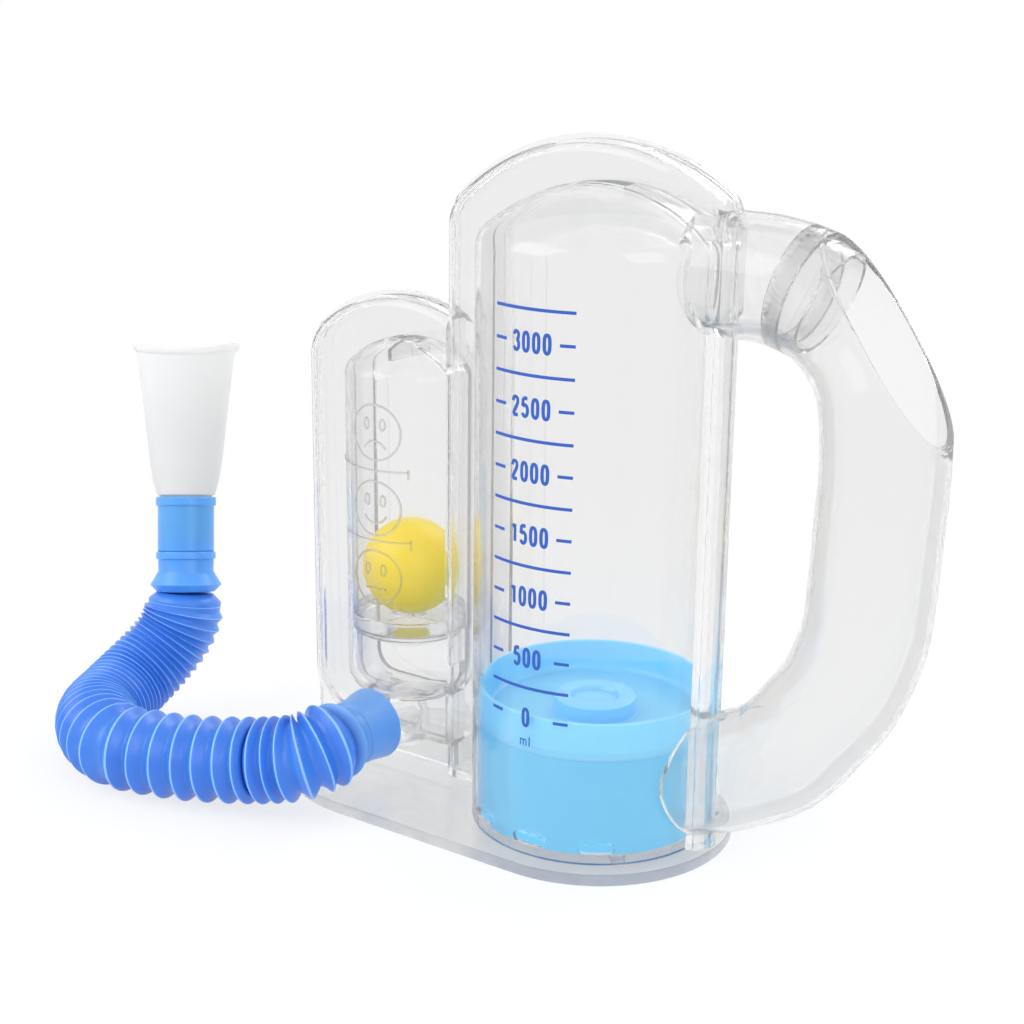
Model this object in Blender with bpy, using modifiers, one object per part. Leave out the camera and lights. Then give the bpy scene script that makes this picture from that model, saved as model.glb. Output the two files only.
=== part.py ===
"""Incentive spirometer: a clear measuring cylinder with a piston, a flow chamber with a ball,
a hollow D handle, a base tray, and a bellows hose with a mouthpiece.

Metres, +Z up. The cylinder stands on the Z axis, the handle points along +X and the
printed front faces -Y. The tray's underside is at Z = 0.
"""
import math

import bmesh
import bpy
from mathutils import Matrix, Vector

mm = 0.001

# Clearances and overruns
seam_gap = 0.3 * mm            # glue line between touching pieces
running_gap = 0.5 * mm         # between the piston and its cylinder
overrun = 4 * mm               # how far a cutter reaches past what it cuts
web_overrun = 1.5 * overrun    # the web's own, so that no two cut faces are in one plane
weld_distance = 0.002 * mm

# Measuring cylinder, standing on the Z axis
chamber_radius = 45 * mm
chamber_wall = 1.8 * mm
chamber_dome_radius = 65 * mm
chamber_dome_top = 237.6 * mm
chamber_shoulder = 9 * mm
chamber_sides = 40

# Flow chamber, a smaller domed tube to the left
flow_x = -85.6 * mm
flow_radius = 24.6 * mm
flow_wall = 1.8 * mm
flow_dome_radius = 32.7 * mm
flow_dome_top = 173.9 * mm
flow_shoulder = 6 * mm
flow_bottom = 33.5 * mm
flow_bottom_round = 11 * mm
flow_sides = 28

# Air channels: a tall rim round the cylinder and a lower one round the flow chamber
rim_half_depth = 7.7 * mm
rim_round = 4.5 * mm
rim_wall = 1.8 * mm
tall_left = -64 * mm
tall_right = 49.5 * mm
tall_arch_x = -2 * mm
tall_arch_z = 167.5 * mm
tall_arch_radius = 84 * mm
tall_corner_left = 14 * mm
tall_corner_right = 7 * mm
low_left = -130.5 * mm
low_arch_x = -86.2 * mm
low_arch_z = 129.1 * mm
low_arch_radius = 60.1 * mm
low_bottom = 15 * mm
low_corner = 20 * mm
low_shoulder = 18 * mm         # round between the arch and the left side
rim_lap = 6 * mm               # how far the low rim runs into the tall one
air_slot_length = 18 * mm
air_slot_width = 8 * mm
duct_z = 43 * mm               # middle of the duct between the two chambers
duct_height = 12 * mm

# Weld flange in the middle plane
flange_reach = 1.8 * mm
flange_half = 1.4 * mm
web_half = 1.2 * mm

# Base tray, a stadium under both chambers
tray_height = 4.5 * mm
tray_margin = 7 * mm           # beyond the measuring cylinder
tray_left_x = -82 * mm         # centre of the left round end
tray_edge = 0.8 * mm
tray_end_sides = 16

# Piston and the stops it rests on
piston_bottom = 7.5 * mm
piston_top = 57 * mm
piston_floor = 45.2 * mm
piston_wall = 1.8 * mm
piston_boss_radius = 15 * mm
piston_boss_height = 6.3 * mm
piston_recess_radius = 8.5 * mm
piston_recess_depth = 2 * mm
piston_lip = 1 * mm
stop_width = 5 * mm
stop_angles = (45, 135, 225, 315)

# Air vents low in the cylinder wall, angles from the front
vent_z = 10.8 * mm
vent_height = 4 * mm
vent_width = 13 * mm
vent_angles = (-63, -30.5, 2, 34.5, 117, 149.5, 182, 214.5)

# Ball, its seat, the funnel below it and its stop
ball_radius = 18.7 * mm
seat_top = 67.6 * mm
seat_height = 5.5 * mm
seat_hole_radius = 8 * mm
seat_chamfer = 1.5 * mm
seat_ledge = 1.5 * mm
funnel_height = 6.5 * mm
funnel_wall = 1.6 * mm
funnel_hole_radius = 11 * mm
funnel_lip = 2 * mm
stop_fin_thickness = 1.6 * mm
stop_fin_half = 12 * mm
stop_fin_z = 166 * mm

# Hose port on the front of the low rim, pointing along -Y
port_z = 26.2 * mm
port_bore = 8 * mm
port_spigot_radius = 10.4 * mm
port_neck_radius = 12.2 * mm
port_foot_radius = 15 * mm
port_foot_length = 4.5 * mm
port_foot_round_share = 0.25   # width of the foot's slope at its top, as a share of the step
port_neck_length = 5 * mm
port_end = 37 * mm             # distance of its tip from the middle plane
port_sides = 24

# Handle, a hollow D of round tube with a slanted open mouth
handle_radius = 21 * mm
handle_wall = 2 * mm
handle_reach = 106.9 * mm      # from the cylinder's axis to the grip's centreline
handle_top_z = 210.8 * mm
handle_foot_z = 30 * mm
handle_sides = 18
handle_steps = 30
# Places along the centreline, as shares of the reach and of the height between foot and top
handle_route_shares = (
    (0.36, 1.0), (0.514, 1.0), (0.602, 0.998), (0.715, 0.984), (0.83, 0.952), (0.92, 0.897),
    (0.972, 0.835), (0.994, 0.758), (1.0, 0.667), (0.994, 0.58), (0.989, 0.506), (0.983, 0.427),
    (0.973, 0.372), (0.944, 0.31), (0.897, 0.243), (0.821, 0.178), (0.743, 0.117),
    (0.689, 0.086), (0.582, 0.049), (0.516, 0.028), (0.38, 0.0),
)
handle_start_share = 0.673     # the stub's end, as a share of the reach
spigot_gap = 0.4 * mm
spigot_wall = 1.8 * mm
mouth_top_share = 0.7746       # the mouth's upper end, as a share of the reach
mouth_top_rise = 0.758         # and above the handle's top, as a share of its radius
mouth_slope = 55.5             # degrees below the horizontal
mouth_lip = 1.1 * mm
mouth_lip_sides = 6
mouth_lip_places = 30          # points round the lip

# Cuffs at the two ends of the hose
cuff_bore = 10.9 * mm
cuff_radius = 11.6 * mm
cuff_lip_radius = 12.8 * mm
cuff_lip = 3.8 * mm
cuff_barrel = 19 * mm
cuff_ring_radius = 12.6 * mm
cuff_ring = 3.4 * mm
cuff_neck = 5.9 * mm
cuff_bell_radius = 14.7 * mm
cuff_bell = 7.4 * mm
bell_crest_share = 0.4         # height of a bell's widest ring, as a share of the bell
flared_radius = 13.9 * mm
flared_wall = 1.3 * mm
flared_length = 14.6 * mm
flared_band_radius = 11.9 * mm
flared_band = 4.2 * mm
flared_bell = 4.6 * mm
cuff_sides = 24
cuff_start = 23.7 * mm         # lower cuff's rim, from the middle plane

# Hose
hose_radius = 16 * mm
hose_steps = 48
hose_sides = 10
upper_cuff_foot = (-194.6 * mm, -13.7 * mm, 54.3 * mm)
mouthpiece_axis = (-0.1726, 0.2253, 0.9589)
mouthpiece_across = (0.817, 0.5766)   # bearing of its wide side, in plan
# The route's own points, laid by hand: out of the lower cuff, round to the left on the
# table, back, and up on its own stiffness to the upper cuff
hose_route = (
    (-85.6 * mm, -44.0 * mm, 26.2 * mm),
    (-86.1 * mm, -50.5 * mm, 25.7 * mm),
    (-91.3 * mm, -58.8 * mm, 22.9 * mm),
    (-100.6 * mm, -63.6 * mm, 20.8 * mm),
    (-110.4 * mm, -67.2 * mm, 19.3 * mm),
    (-120.2 * mm, -70.6 * mm, 18.1 * mm),
    (-130.1 * mm, -73.9 * mm, 17.2 * mm),
    (-140.2 * mm, -77.2 * mm, 16.7 * mm),
    (-150.8 * mm, -80.0 * mm, 16.5 * mm),
    (-164.5 * mm, -82.3 * mm, 16.5 * mm),
    (-179.3 * mm, -77.8 * mm, 16.5 * mm),
    (-192.2 * mm, -67.2 * mm, 16.7 * mm),
    (-197.9 * mm, -52.8 * mm, 18.3 * mm),
    (-199.9 * mm, -40.7 * mm, 21.8 * mm),
    (-198.7 * mm, -29.7 * mm, 28.0 * mm),
    (-196.1 * mm, -21.0 * mm, 36.2 * mm),
    (-194.3 * mm, -16.2 * mm, 45.2 * mm),
    (-194.9 * mm, -13.1 * mm, 57.5 * mm),
)

# Mouthpiece: a round spigot that widens to a flat oval with a rolled lip
mouth_spigot_radius = 10.6 * mm
mouth_spigot_length = 18 * mm
mouth_length = 64.5 * mm
mouth_wall = 1.3 * mm
mouth_lip_half_width = 22.3 * mm
mouth_half_depth = 12.4 * mm
mouth_lip_height = 4 * mm
mouth_lip_slope_share = 0.3    # height of the lip's lower slope, as a share of the lip
mouth_sides = 24
# Height, half width and half depth along it, as shares of the visible length, of the lip's
# half width and of the half depth
mouth_section_shares = (
    (0.0, 0.52, 0.9), (0.1, 0.615, 0.93), (0.22, 0.675, 0.92), (0.54, 0.775, 0.9),
    (0.93, 0.91, 0.9),
)

# How finely routes are drawn between two of their places
route_substeps = 12

# Worked out from the sizes above
bore_radius = chamber_radius - chamber_wall
flow_bore = flow_radius - flow_wall
chamber_dome_z = chamber_dome_top - chamber_dome_radius
flow_dome_z = flow_dome_top - flow_dome_radius
shell_bottom = tray_height + seam_gap
tray_radius = chamber_radius + tray_margin
mouth_top_x = mouth_top_share * handle_reach
mouth_top_z = handle_top_z + mouth_top_rise * handle_radius
seat_bottom = seat_top - seat_height
ball_z = seat_top + math.sqrt(ball_radius ** 2 - (seat_hole_radius + seat_chamfer) ** 2) + seam_gap
all_height = tall_arch_z + tall_arch_radius + flange_reach
all_depth = 2 * (chamber_radius + port_end)
all_width = 2 * (handle_reach + handle_radius - low_left)
handle_rise = handle_top_z - handle_foot_z
mouthpiece_way = Vector(mouthpiece_axis).normalized()
upper_cuff_length = cuff_lip + cuff_barrel + cuff_ring + cuff_neck + cuff_bell
flared_total = flared_length + flared_band + flared_bell
lower_cuff_foot = Vector((flow_x, -cuff_start - seam_gap - flared_total, port_z))
front = Vector((0, -1, 0))
# Stands a flat XY shape up in the XZ plane; local Z then points to the front
upright = Matrix(((1, 0, 0, 0), (0, 0, -1, 0), (0, 1, 0, 0), (0, 0, 0, 1)))


# Scene and objects
def clear_scene():
    for old in list(bpy.data.objects):
        bpy.data.objects.remove(old, do_unlink=True)


def new_collection(name):
    group = bpy.data.collections.new(name)
    bpy.context.scene.collection.children.link(group)
    return group


def add_object(name, data, group):
    thing = bpy.data.objects.new(name, data)
    group.objects.link(thing)
    return thing


def drop(thing):
    bpy.data.objects.remove(thing, do_unlink=True)


def evaluated_mesh(thing):
    bpy.context.view_layer.update()
    graph = bpy.context.evaluated_depsgraph_get()
    return bpy.data.meshes.new_from_object(thing.evaluated_get(graph), depsgraph=graph)


def weld(mesh):
    work = bmesh.new()
    work.from_mesh(mesh)
    bmesh.ops.remove_doubles(work, verts=work.verts, dist=weld_distance)
    work.to_mesh(mesh)
    work.free()


def settled(thing, placed=True):
    """A plain mesh object in place of one with modifiers or a curve."""
    mesh = evaluated_mesh(thing)
    if placed:
        mesh.transform(thing.matrix_world)
    weld(mesh)
    plain = add_object(thing.name, mesh, thing.users_collection[0])
    name = thing.name
    drop(thing)
    plain.name = name
    return plain


def is_closed(mesh):
    work = bmesh.new()
    work.from_mesh(mesh)
    closed = all(len(edge.link_faces) == 2 for edge in work.edges)
    work.free()
    return closed


def combine(thing, others, operation):
    """Joins or cuts a mesh with others one by one; the second solver is for a leaky result."""
    for other in others:
        for solver in ("EXACT", "MANIFOLD"):
            change = thing.modifiers.new("Join", "BOOLEAN")
            change.operation = operation
            change.solver = solver
            change.object = other
            merged = evaluated_mesh(thing)
            thing.modifiers.clear()
            if is_closed(merged) or solver == "MANIFOLD":
                break
            bpy.data.meshes.remove(merged)
        old = thing.data
        thing.data = merged
        bpy.data.meshes.remove(old)
    return thing


def copy_of(thing):
    return add_object(thing.name + "_copy", thing.data.copy(), thing.users_collection[0])


def make_part(thing, name, group, look, turn=30):
    """Moves a finished mesh into the part's collection under its own name."""
    for holder in list(thing.users_collection):
        holder.objects.unlink(thing)
    group.objects.link(thing)
    thing.name = name
    thing.data.name = name
    thing.data.materials.clear()
    thing.data.materials.append(look)
    thing.data.shade_smooth()
    thing.data.set_sharp_from_angle(angle=math.radians(turn))
    return thing


def plastic(name, colour, roughness, see_through=0.0):
    look = bpy.data.materials.new(name)
    look.use_nodes = True
    shader = look.node_tree.nodes["Principled BSDF"]
    shader.inputs["Base Color"].default_value = (*colour, 1)
    shader.inputs["Roughness"].default_value = roughness
    shader.inputs["Metallic"].default_value = 0
    shader.inputs["Transmission Weight"].default_value = see_through
    look.diffuse_color = (*colour, 1)
    return look


# Basic shapes
def turned(name, profile, sides, group, closed=True):
    """A profile of (radius, height) points, from the top down its outer side, spun about Z."""
    mesh = bpy.data.meshes.new(name)
    points = [(r, 0, z) for r, z in profile]
    edges = [(i, i + 1) for i in range(len(points) - 1)]
    if not closed:
        edges.append((len(points) - 1, 0))
    mesh.from_pydata(points, edges, [])
    thing = add_object(name, mesh, group)
    spin = thing.modifiers.new("Spin", "SCREW")
    spin.axis = "Z"
    spin.steps = sides
    spin.render_steps = sides
    spin.use_merge_vertices = True
    spin.merge_threshold = weld_distance
    return settled(thing)


def slab(name, outline, half_depth, rounding, group):
    """A flat outline in the XZ plane, given depth along Y, its front and back edges rounded."""
    curve = bpy.data.curves.new(name, "CURVE")
    curve.dimensions = "2D"
    curve.fill_mode = "BOTH"
    curve.extrude = half_depth
    spline = curve.splines.new("POLY")
    spline.points.add(len(outline) - 1)
    for point, (x, z) in zip(spline.points, outline):
        point.co = (x, z, 0, 1)
    spline.use_cyclic_u = True
    thing = add_object(name, curve, group)
    thing = settled(thing)
    thing.data.transform(upright)
    if rounding > 0:
        flat = thing.modifiers.new("Flat", "DECIMATE")
        flat.decimate_type = "DISSOLVE"
        flat.angle_limit = math.radians(1)
        edge = thing.modifiers.new("Edge", "BEVEL")
        edge.use_clamp_overlap = False
        edge.width = rounding
        edge.segments = 2
        edge.limit_method = "ANGLE"
        edge.angle_limit = math.radians(60)
        thing = settled(thing)
    return thing


def block(name, low, high, group):
    work = bmesh.new()
    bmesh.ops.create_cube(work, size=1)
    size = [b - a for a, b in zip(low, high)]
    middle = [(a + b) / 2 for a, b in zip(low, high)]
    work.transform(Matrix.Translation(middle) @ Matrix.Diagonal((*size, 1)))
    mesh = bpy.data.meshes.new(name)
    work.to_mesh(mesh)
    work.free()
    return add_object(name, mesh, group)


def tube(name, points, radius, sides, group, capped=True):
    curve = bpy.data.curves.new(name, "CURVE")
    curve.dimensions = "3D"
    curve.bevel_depth = radius
    curve.bevel_resolution = sides // 2 - 2
    curve.render_resolution_u = 0
    curve.use_fill_caps = capped
    spline = curve.splines.new("POLY")
    spline.points.add(len(points) - 1)
    for point, place in zip(spline.points, points):
        point.co = (*place, 1)
    return settled(add_object(name, curve, group))


def arc(x, z, radius, start, end, steps):
    """Points on a circle in a plane, angles in degrees, both ends included."""
    turns = [math.radians(start + (end - start) * i / steps) for i in range(steps + 1)]
    return [(x + radius * math.cos(t), z + radius * math.sin(t)) for t in turns]


def beyond(place, way, group, reach=2 * all_width):
    """A block that fills the space past a plane, on the side that the direction points to."""
    thing = block("beyond", (-reach, -reach, 0), (reach, reach, reach), group)
    return aimed(thing, place, way)


def aimed(thing, place, way):
    turn = Vector((0, 0, 1)).rotation_difference(way).to_matrix().to_4x4()
    thing.data.transform(Matrix.Translation(place) @ turn)
    return thing


def smooth_route(places, steps):
    """Evenly stepped points on a smooth curve through the given places."""
    places = [Vector(p) for p in places]
    ends = [2 * places[0] - places[1], *places, 2 * places[-1] - places[-2]]
    fine = []
    for a, b, c, d in zip(ends, ends[1:], ends[2:], ends[3:]):
        for i in range(route_substeps):
            t = i / route_substeps
            fine.append(0.5 * (2 * b + (c - a) * t + (2 * a - 5 * b + 4 * c - d) * t ** 2
                               + (3 * b - a - 3 * c + d) * t ** 3))
    fine.append(places[-1])
    along = [0.0]
    for a, b in zip(fine, fine[1:]):
        along.append(along[-1] + (b - a).length)
    even = []
    spot = 0
    for i in range(steps + 1):
        goal = along[-1] * i / steps
        while spot < len(fine) - 2 and along[spot + 1] < goal:
            spot += 1
        share = (goal - along[spot]) / (along[spot + 1] - along[spot])
        even.append(fine[spot].lerp(fine[spot + 1], min(share, 1)))
    return even


# Casing
def domed_profile(radius, dome_radius, dome_z, shoulder, bottom, bottom_round, inset):
    """Half section of a domed tube, all of it moved in by the inset."""
    fillet_r = radius - shoulder
    fillet_z = dome_z + math.sqrt((dome_radius - shoulder) ** 2 - fillet_r ** 2)
    lean = math.degrees(math.atan2(fillet_z - dome_z, fillet_r))
    dome = arc(0, dome_z, dome_radius - inset, 90, lean, 5)
    dome[0] = (0, dome[0][1])
    fillet = arc(fillet_r, fillet_z, shoulder - inset, lean, 0, 3)[1:]
    if bottom_round > 0:
        base = arc(radius - bottom_round, bottom + bottom_round, bottom_round - inset, 0, -90, 4)
    else:
        base = [(radius - inset, bottom)]
    return dome + fillet + base + [(0, base[-1][1])]


def chamber_solid(name, inset, bottom, group):
    profile = domed_profile(chamber_radius, chamber_dome_radius, chamber_dome_z,
                            chamber_shoulder, bottom, 0, inset)
    return turned(name, profile, chamber_sides, group)


def flow_solid(name, inset, group):
    profile = domed_profile(flow_radius, flow_dome_radius, flow_dome_z, flow_shoulder,
                            flow_bottom, flow_bottom_round, inset)
    thing = turned(name, profile, flow_sides, group)
    thing.data.transform(Matrix.Translation((flow_x, 0, 0)))
    return thing


def corner_on_arch(x, side, corner, arch_x, arch_z, arch_radius):
    """Centre of the round between an arch and an upright side, and its bearing."""
    centre_x = x - side * corner
    run = centre_x - arch_x
    rise = math.sqrt((arch_radius - corner) ** 2 - run ** 2)
    return centre_x, arch_z + rise, math.degrees(math.atan2(rise, run))


def tall_outline(grow):
    """Outline of the tall rim, grown outward; the halves are trimmed at the tray later."""
    arch = (tall_arch_x, tall_arch_z, tall_arch_radius)
    right_x, right_z, right_turn = corner_on_arch(tall_right, 1, tall_corner_right, *arch)
    left_x, left_z, left_turn = corner_on_arch(tall_left, -1, tall_corner_left, *arch)
    bottom = shell_bottom - grow if grow < 0 else -overrun - grow
    points = [(tall_right + grow, bottom)]
    points += arc(right_x, right_z, tall_corner_right + grow, 0, right_turn, 3)
    points += arc(tall_arch_x, tall_arch_z, tall_arch_radius + grow, right_turn, left_turn, 11)[1:]
    points += arc(left_x, left_z, tall_corner_left + grow, left_turn, 180, 4)[1:]
    points.append((tall_left - grow, bottom))
    return points


def low_outline(grow, square):
    """Outline of the low rim; its right side lies inside the tall one."""
    right = tall_left + rim_lap
    radius = low_arch_radius + grow
    left = low_left - grow
    start = math.degrees(math.acos((right - low_arch_x) / radius))
    shoulder_x, shoulder_z, turn = corner_on_arch(low_left, -1, low_shoulder, low_arch_x,
                                                  low_arch_z, low_arch_radius)
    points = arc(low_arch_x, low_arch_z, radius, start, turn, 7)
    points += arc(shoulder_x, shoulder_z, low_shoulder + grow, turn, 180, 5)[1:]
    if square:
        points += [(left, -web_overrun), (right, -web_overrun)]
        return points
    points += arc(low_left + low_corner, low_bottom + low_corner, low_corner + grow, 180, 270, 6)
    points.append((right, low_bottom - grow))
    return points


def handle_route():
    places = [(x * handle_reach, 0, handle_foot_z + z * handle_rise)
              for x, z in handle_route_shares]
    return smooth_route(places, handle_steps)


def handle_joint():
    """The handle's route, the first point past the joint, the joint's place and direction."""
    route = handle_route()
    start = handle_start_share * handle_reach
    near = next(i for i, p in enumerate(route) if p.x > start)
    share = (start - route[near - 1].x) / (route[near].x - route[near - 1].x)
    meet = route[near - 1].lerp(route[near], share)
    return route, near, meet, (route[near] - route[near - 1]).normalized()


def port_solid(group):
    """Outside of the hose port, from inside the rim to its tip."""
    foot = rim_half_depth
    profile = [
        (0, port_end), (port_spigot_radius - seam_gap / 2, port_end),
        (port_spigot_radius, cuff_start),
        (port_neck_radius, cuff_start - seam_gap),
        (port_neck_radius, foot + port_foot_length + port_neck_length),
        (port_neck_radius + port_foot_round_share * (port_foot_radius - port_neck_radius),
         foot + port_foot_length),
        (port_foot_radius, foot), (port_foot_radius, foot - rim_wall / 2), (0, foot - rim_wall / 2),
    ]
    thing = turned("port", profile, port_sides, group)
    thing.data.transform(Matrix.Translation((flow_x, 0, port_z)) @ upright)
    return thing


def casing_cavities(group):
    """Everything that is hollow inside the casing."""
    wall = rim_wall
    chamber = chamber_solid("chamber_space", chamber_wall, -3 * overrun, group)
    ledge = turned("flow_space_low", [
        (0, seat_bottom), (flow_bore - seat_ledge, seat_bottom),
        *arc(flow_radius - flow_bottom_round, flow_bottom + flow_bottom_round,
             flow_bottom_round - flow_wall - seat_ledge, 0, -90, 4),
        (0, flow_bottom + flow_wall + seat_ledge)], flow_sides, group)
    ledge.data.transform(Matrix.Translation((flow_x, 0, 0)))
    flow_top = flow_solid("flow_space", flow_wall, group)
    above = block("above_seat", (flow_x - 2 * flow_radius, -2 * flow_radius, seat_bottom - seam_gap),
                  (flow_x + 2 * flow_radius, 2 * flow_radius, flow_dome_top + overrun), group)
    combine(flow_top, [above], "INTERSECT")
    tall_skin = slab("tall_skin", tall_outline(0), rim_half_depth, 0, group)
    combine(flow_top, [tall_skin], "DIFFERENCE")
    combine(ledge, [tall_skin], "DIFFERENCE")
    tall_air = slab("tall_air", tall_outline(-wall), rim_half_depth - wall, rim_round - wall, group)
    chamber_outside = chamber_solid("chamber_outside", 0, -3 * overrun, group)
    right_end = block("right_end", (chamber_radius / 2, -all_depth, -overrun),
                      (all_width, all_depth, handle_top_z + handle_radius / 2), group)
    combine(tall_air, [chamber_outside, right_end], "DIFFERENCE")
    low_air = slab("low_air", low_outline(-wall, False), rim_half_depth - wall,
                   rim_round - wall, group)
    flow_outside = flow_solid("flow_outside", 0, group)
    combine(low_air, [flow_outside, tall_skin], "DIFFERENCE")
    half = air_slot_width / 2
    top_slot = block("top_slot", (-air_slot_length / 2, -half, chamber_dome_top - 3 * wall),
                     (air_slot_length / 2, half, chamber_dome_top + 2 * wall), group)
    flow_slot = block("flow_slot", (flow_x - air_slot_length / 3, -half, flow_dome_top - 3 * wall),
                      (flow_x + air_slot_length / 3, half, flow_dome_top + 2 * wall), group)
    duct = block("duct", (tall_left - 2 * wall, -half, duct_z - duct_height / 2),
                 (tall_left + 2 * wall, half, duct_z + duct_height / 2), group)
    bore = turned("port_hole", [(0, port_end + overrun), (port_bore, port_end + overrun),
                                (port_bore, 0), (0, 0)], port_sides, group)
    bore.data.transform(Matrix.Translation((flow_x, 0, port_z)) @ upright)
    vents = []
    for angle in vent_angles:
        vent = block("vent", (-vent_width / 2, -chamber_radius - overrun, vent_z - vent_height / 2),
                     (vent_width / 2, overrun - chamber_radius, vent_z + vent_height / 2), group)
        vent.data.transform(Matrix.Rotation(math.radians(angle), 4, "Z"))
        vents.append(vent)
    return [chamber, flow_top, ledge, tall_air, low_air, top_slot, flow_slot, duct, bore, *vents]


def ball_stop(group):
    """The fin under the dome that stops the ball."""
    half = stop_fin_thickness / 2
    fin = block("stop_fin", (flow_x - half, -stop_fin_half, stop_fin_z),
                (flow_x + half, stop_fin_half, flow_dome_top + flow_wall), group)
    inside = flow_solid("fin_limit", flow_wall / 2, group)
    return combine(fin, [inside], "INTERSECT")


def casing_room(group):
    """The cylinder with its rim and flange, grown by the glue line."""
    return [chamber_solid("body_room", -seam_gap, -overrun, group),
            slab("rim_room", tall_outline(seam_gap), rim_half_depth + seam_gap, 0, group),
            slab("flange_room", tall_outline(flange_reach + seam_gap), flange_half + seam_gap,
                 0, group)]


def build_casing(group):
    """The whole welded casing in one piece, before it is parted in the middle plane."""
    tall_rim = slab("tall_rim", tall_outline(0), rim_half_depth, rim_round, group)
    low_rim = slab("low_rim", low_outline(0, False), rim_half_depth, rim_round, group)
    chamber = chamber_solid("chamber", 0, -2 * overrun, group)
    flow = flow_solid("flow", 0, group)
    flange = slab("flange", tall_outline(flange_reach), flange_half, 0, group)
    web = slab("web", low_outline(flange_reach, True), web_half, 0, group)
    outside = combine(tall_rim, [low_rim, chamber, flow, flange, web], "UNION")
    route, near, meet, way = handle_joint()
    stub = tube("stub", route[:near + 2], handle_radius, handle_sides, group)
    combine(stub, [beyond(meet, way, group)], "DIFFERENCE")
    spigot_radius = handle_radius - handle_wall - spigot_gap
    spigot = tube("spigot", route[near - 4:near + 2], spigot_radius, handle_sides, group)
    hollow = tube("stub_space", route[:near + 3], spigot_radius - spigot_wall, handle_sides, group)
    combine(hollow, casing_room(group), "DIFFERENCE")
    combine(outside, [stub, spigot, port_solid(group)], "UNION")
    combine(outside, [hollow, *casing_cavities(group)], "DIFFERENCE")
    return combine(outside, [ball_stop(group)], "UNION")


def half_casing(casing, side, group):
    """One moulded half: side -1 is the front, +1 the back."""
    edge = side * seam_gap / 2
    far = side * all_depth
    space = block("half", (-all_width, min(edge, far), shell_bottom),
                  (all_width, max(edge, far), all_height + overrun), group)
    return combine(copy_of(casing), [space], "INTERSECT")


# Handle
def mouth_frame():
    """A matrix whose local XY plane is the cut of the open mouth, local Z pointing outward."""
    slope = math.radians(mouth_slope)
    down = Vector((math.cos(slope), 0, -math.sin(slope)))
    out = Vector((math.sin(slope), 0, math.cos(slope)))
    turn = Matrix((down, out.cross(down), out)).transposed().to_4x4()
    return Matrix.Translation((mouth_top_x, 0, mouth_top_z)) @ turn


def build_handle(group):
    route, near, meet, way = handle_joint()
    skin = tube("handle_skin", route[near - 2:], handle_radius, handle_sides, group, capped=False)
    wall = skin.modifiers.new("Wall", "SOLIDIFY")
    wall.thickness = handle_wall
    wall.offset = -1
    handle = settled(skin)
    frame = mouth_frame()
    lip = lip_ring(handle, frame, group)
    mouth_cut = beyond(frame.translation, frame.to_3x3() @ Vector((0, 0, 1)), group)
    joint_cut = beyond(meet + way * seam_gap, -way, group, handle_radius * 2)
    combine(handle, [mouth_cut, joint_cut], "DIFFERENCE")
    combine(handle, [lip], "UNION")
    return combine(handle, casing_room(group), "DIFFERENCE")


def lip_ring(handle, frame, group):
    """A bead along the cut edge, on the middle of the wall."""
    work = bmesh.new()
    work.from_mesh(handle.data)
    bmesh.ops.transform(work, matrix=frame.inverted(), verts=work.verts)
    cut = bmesh.ops.bisect_plane(work, geom=[*work.verts, *work.edges, *work.faces],
                                 plane_co=(0, 0, 0), plane_no=(0, 0, 1))
    spots = [v.co.copy() for v in cut["geom_cut"] if isinstance(v, bmesh.types.BMVert)]
    work.free()
    middle = Vector((sum(p.x for p in spots) / len(spots), 0, 0))
    outer = {}
    for p in spots:
        turn = round(math.atan2(p.y, (p.x - middle.x) / 2) * mouth_lip_places / math.tau)
        turn %= mouth_lip_places
        if turn not in outer or (p - middle).length > (outer[turn] - middle).length:
            outer[turn] = p
    ring = [outer[k] for k in sorted(outer)]
    ring = [middle + (p - middle) * (1 - handle_wall / 2 / (p - middle).length) for p in ring]
    curve = bpy.data.curves.new("mouth_bead", "CURVE")
    curve.dimensions = "3D"
    curve.bevel_depth = mouth_lip
    curve.bevel_resolution = mouth_lip_sides // 2 - 2
    curve.render_resolution_u = 0
    spline = curve.splines.new("POLY")
    spline.points.add(len(ring) - 1)
    for point, place in zip(spline.points, ring):
        point.co = (*(frame @ place), 1)
    spline.use_cyclic_u = True
    return settled(add_object("mouth_bead", curve, group))


# Tray
def stadium(grow):
    """Plan of the tray, as (x, y) points."""
    radius = tray_radius + grow
    right = arc(0, 0, radius, -90, 90, tray_end_sides)
    left = arc(tray_left_x, 0, radius, 90, 270, tray_end_sides)
    return right + left


def plate(name, outline, low, high, group):
    """An upright prism on a plan outline."""
    flat = slab(name, outline, (high - low) / 2, 0, group)
    flat.data.transform(Matrix.Translation((0, 0, (high + low) / 2)) @ upright.transposed())
    return flat


def build_tray(group):
    tray = plate("tray", stadium(0), 0, tray_height, group)
    edge = tray.modifiers.new("Edge", "BEVEL")
    edge.width = tray_edge
    edge.segments = 2
    edge.limit_method = "ANGLE"
    edge.angle_limit = math.radians(60)
    tray = settled(tray)
    stops = []
    top = piston_bottom - seam_gap
    for angle in stop_angles:
        stop = block("stop", (bore_radius - stop_width - seam_gap, -stop_width / 2,
                              tray_height / 2),
                     (bore_radius - 2 * seam_gap, stop_width / 2, top), group)
        stop.data.transform(Matrix.Rotation(math.radians(angle), 4, "Z"))
        stops.append(stop)
    return combine(tray, stops, "UNION")


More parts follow.
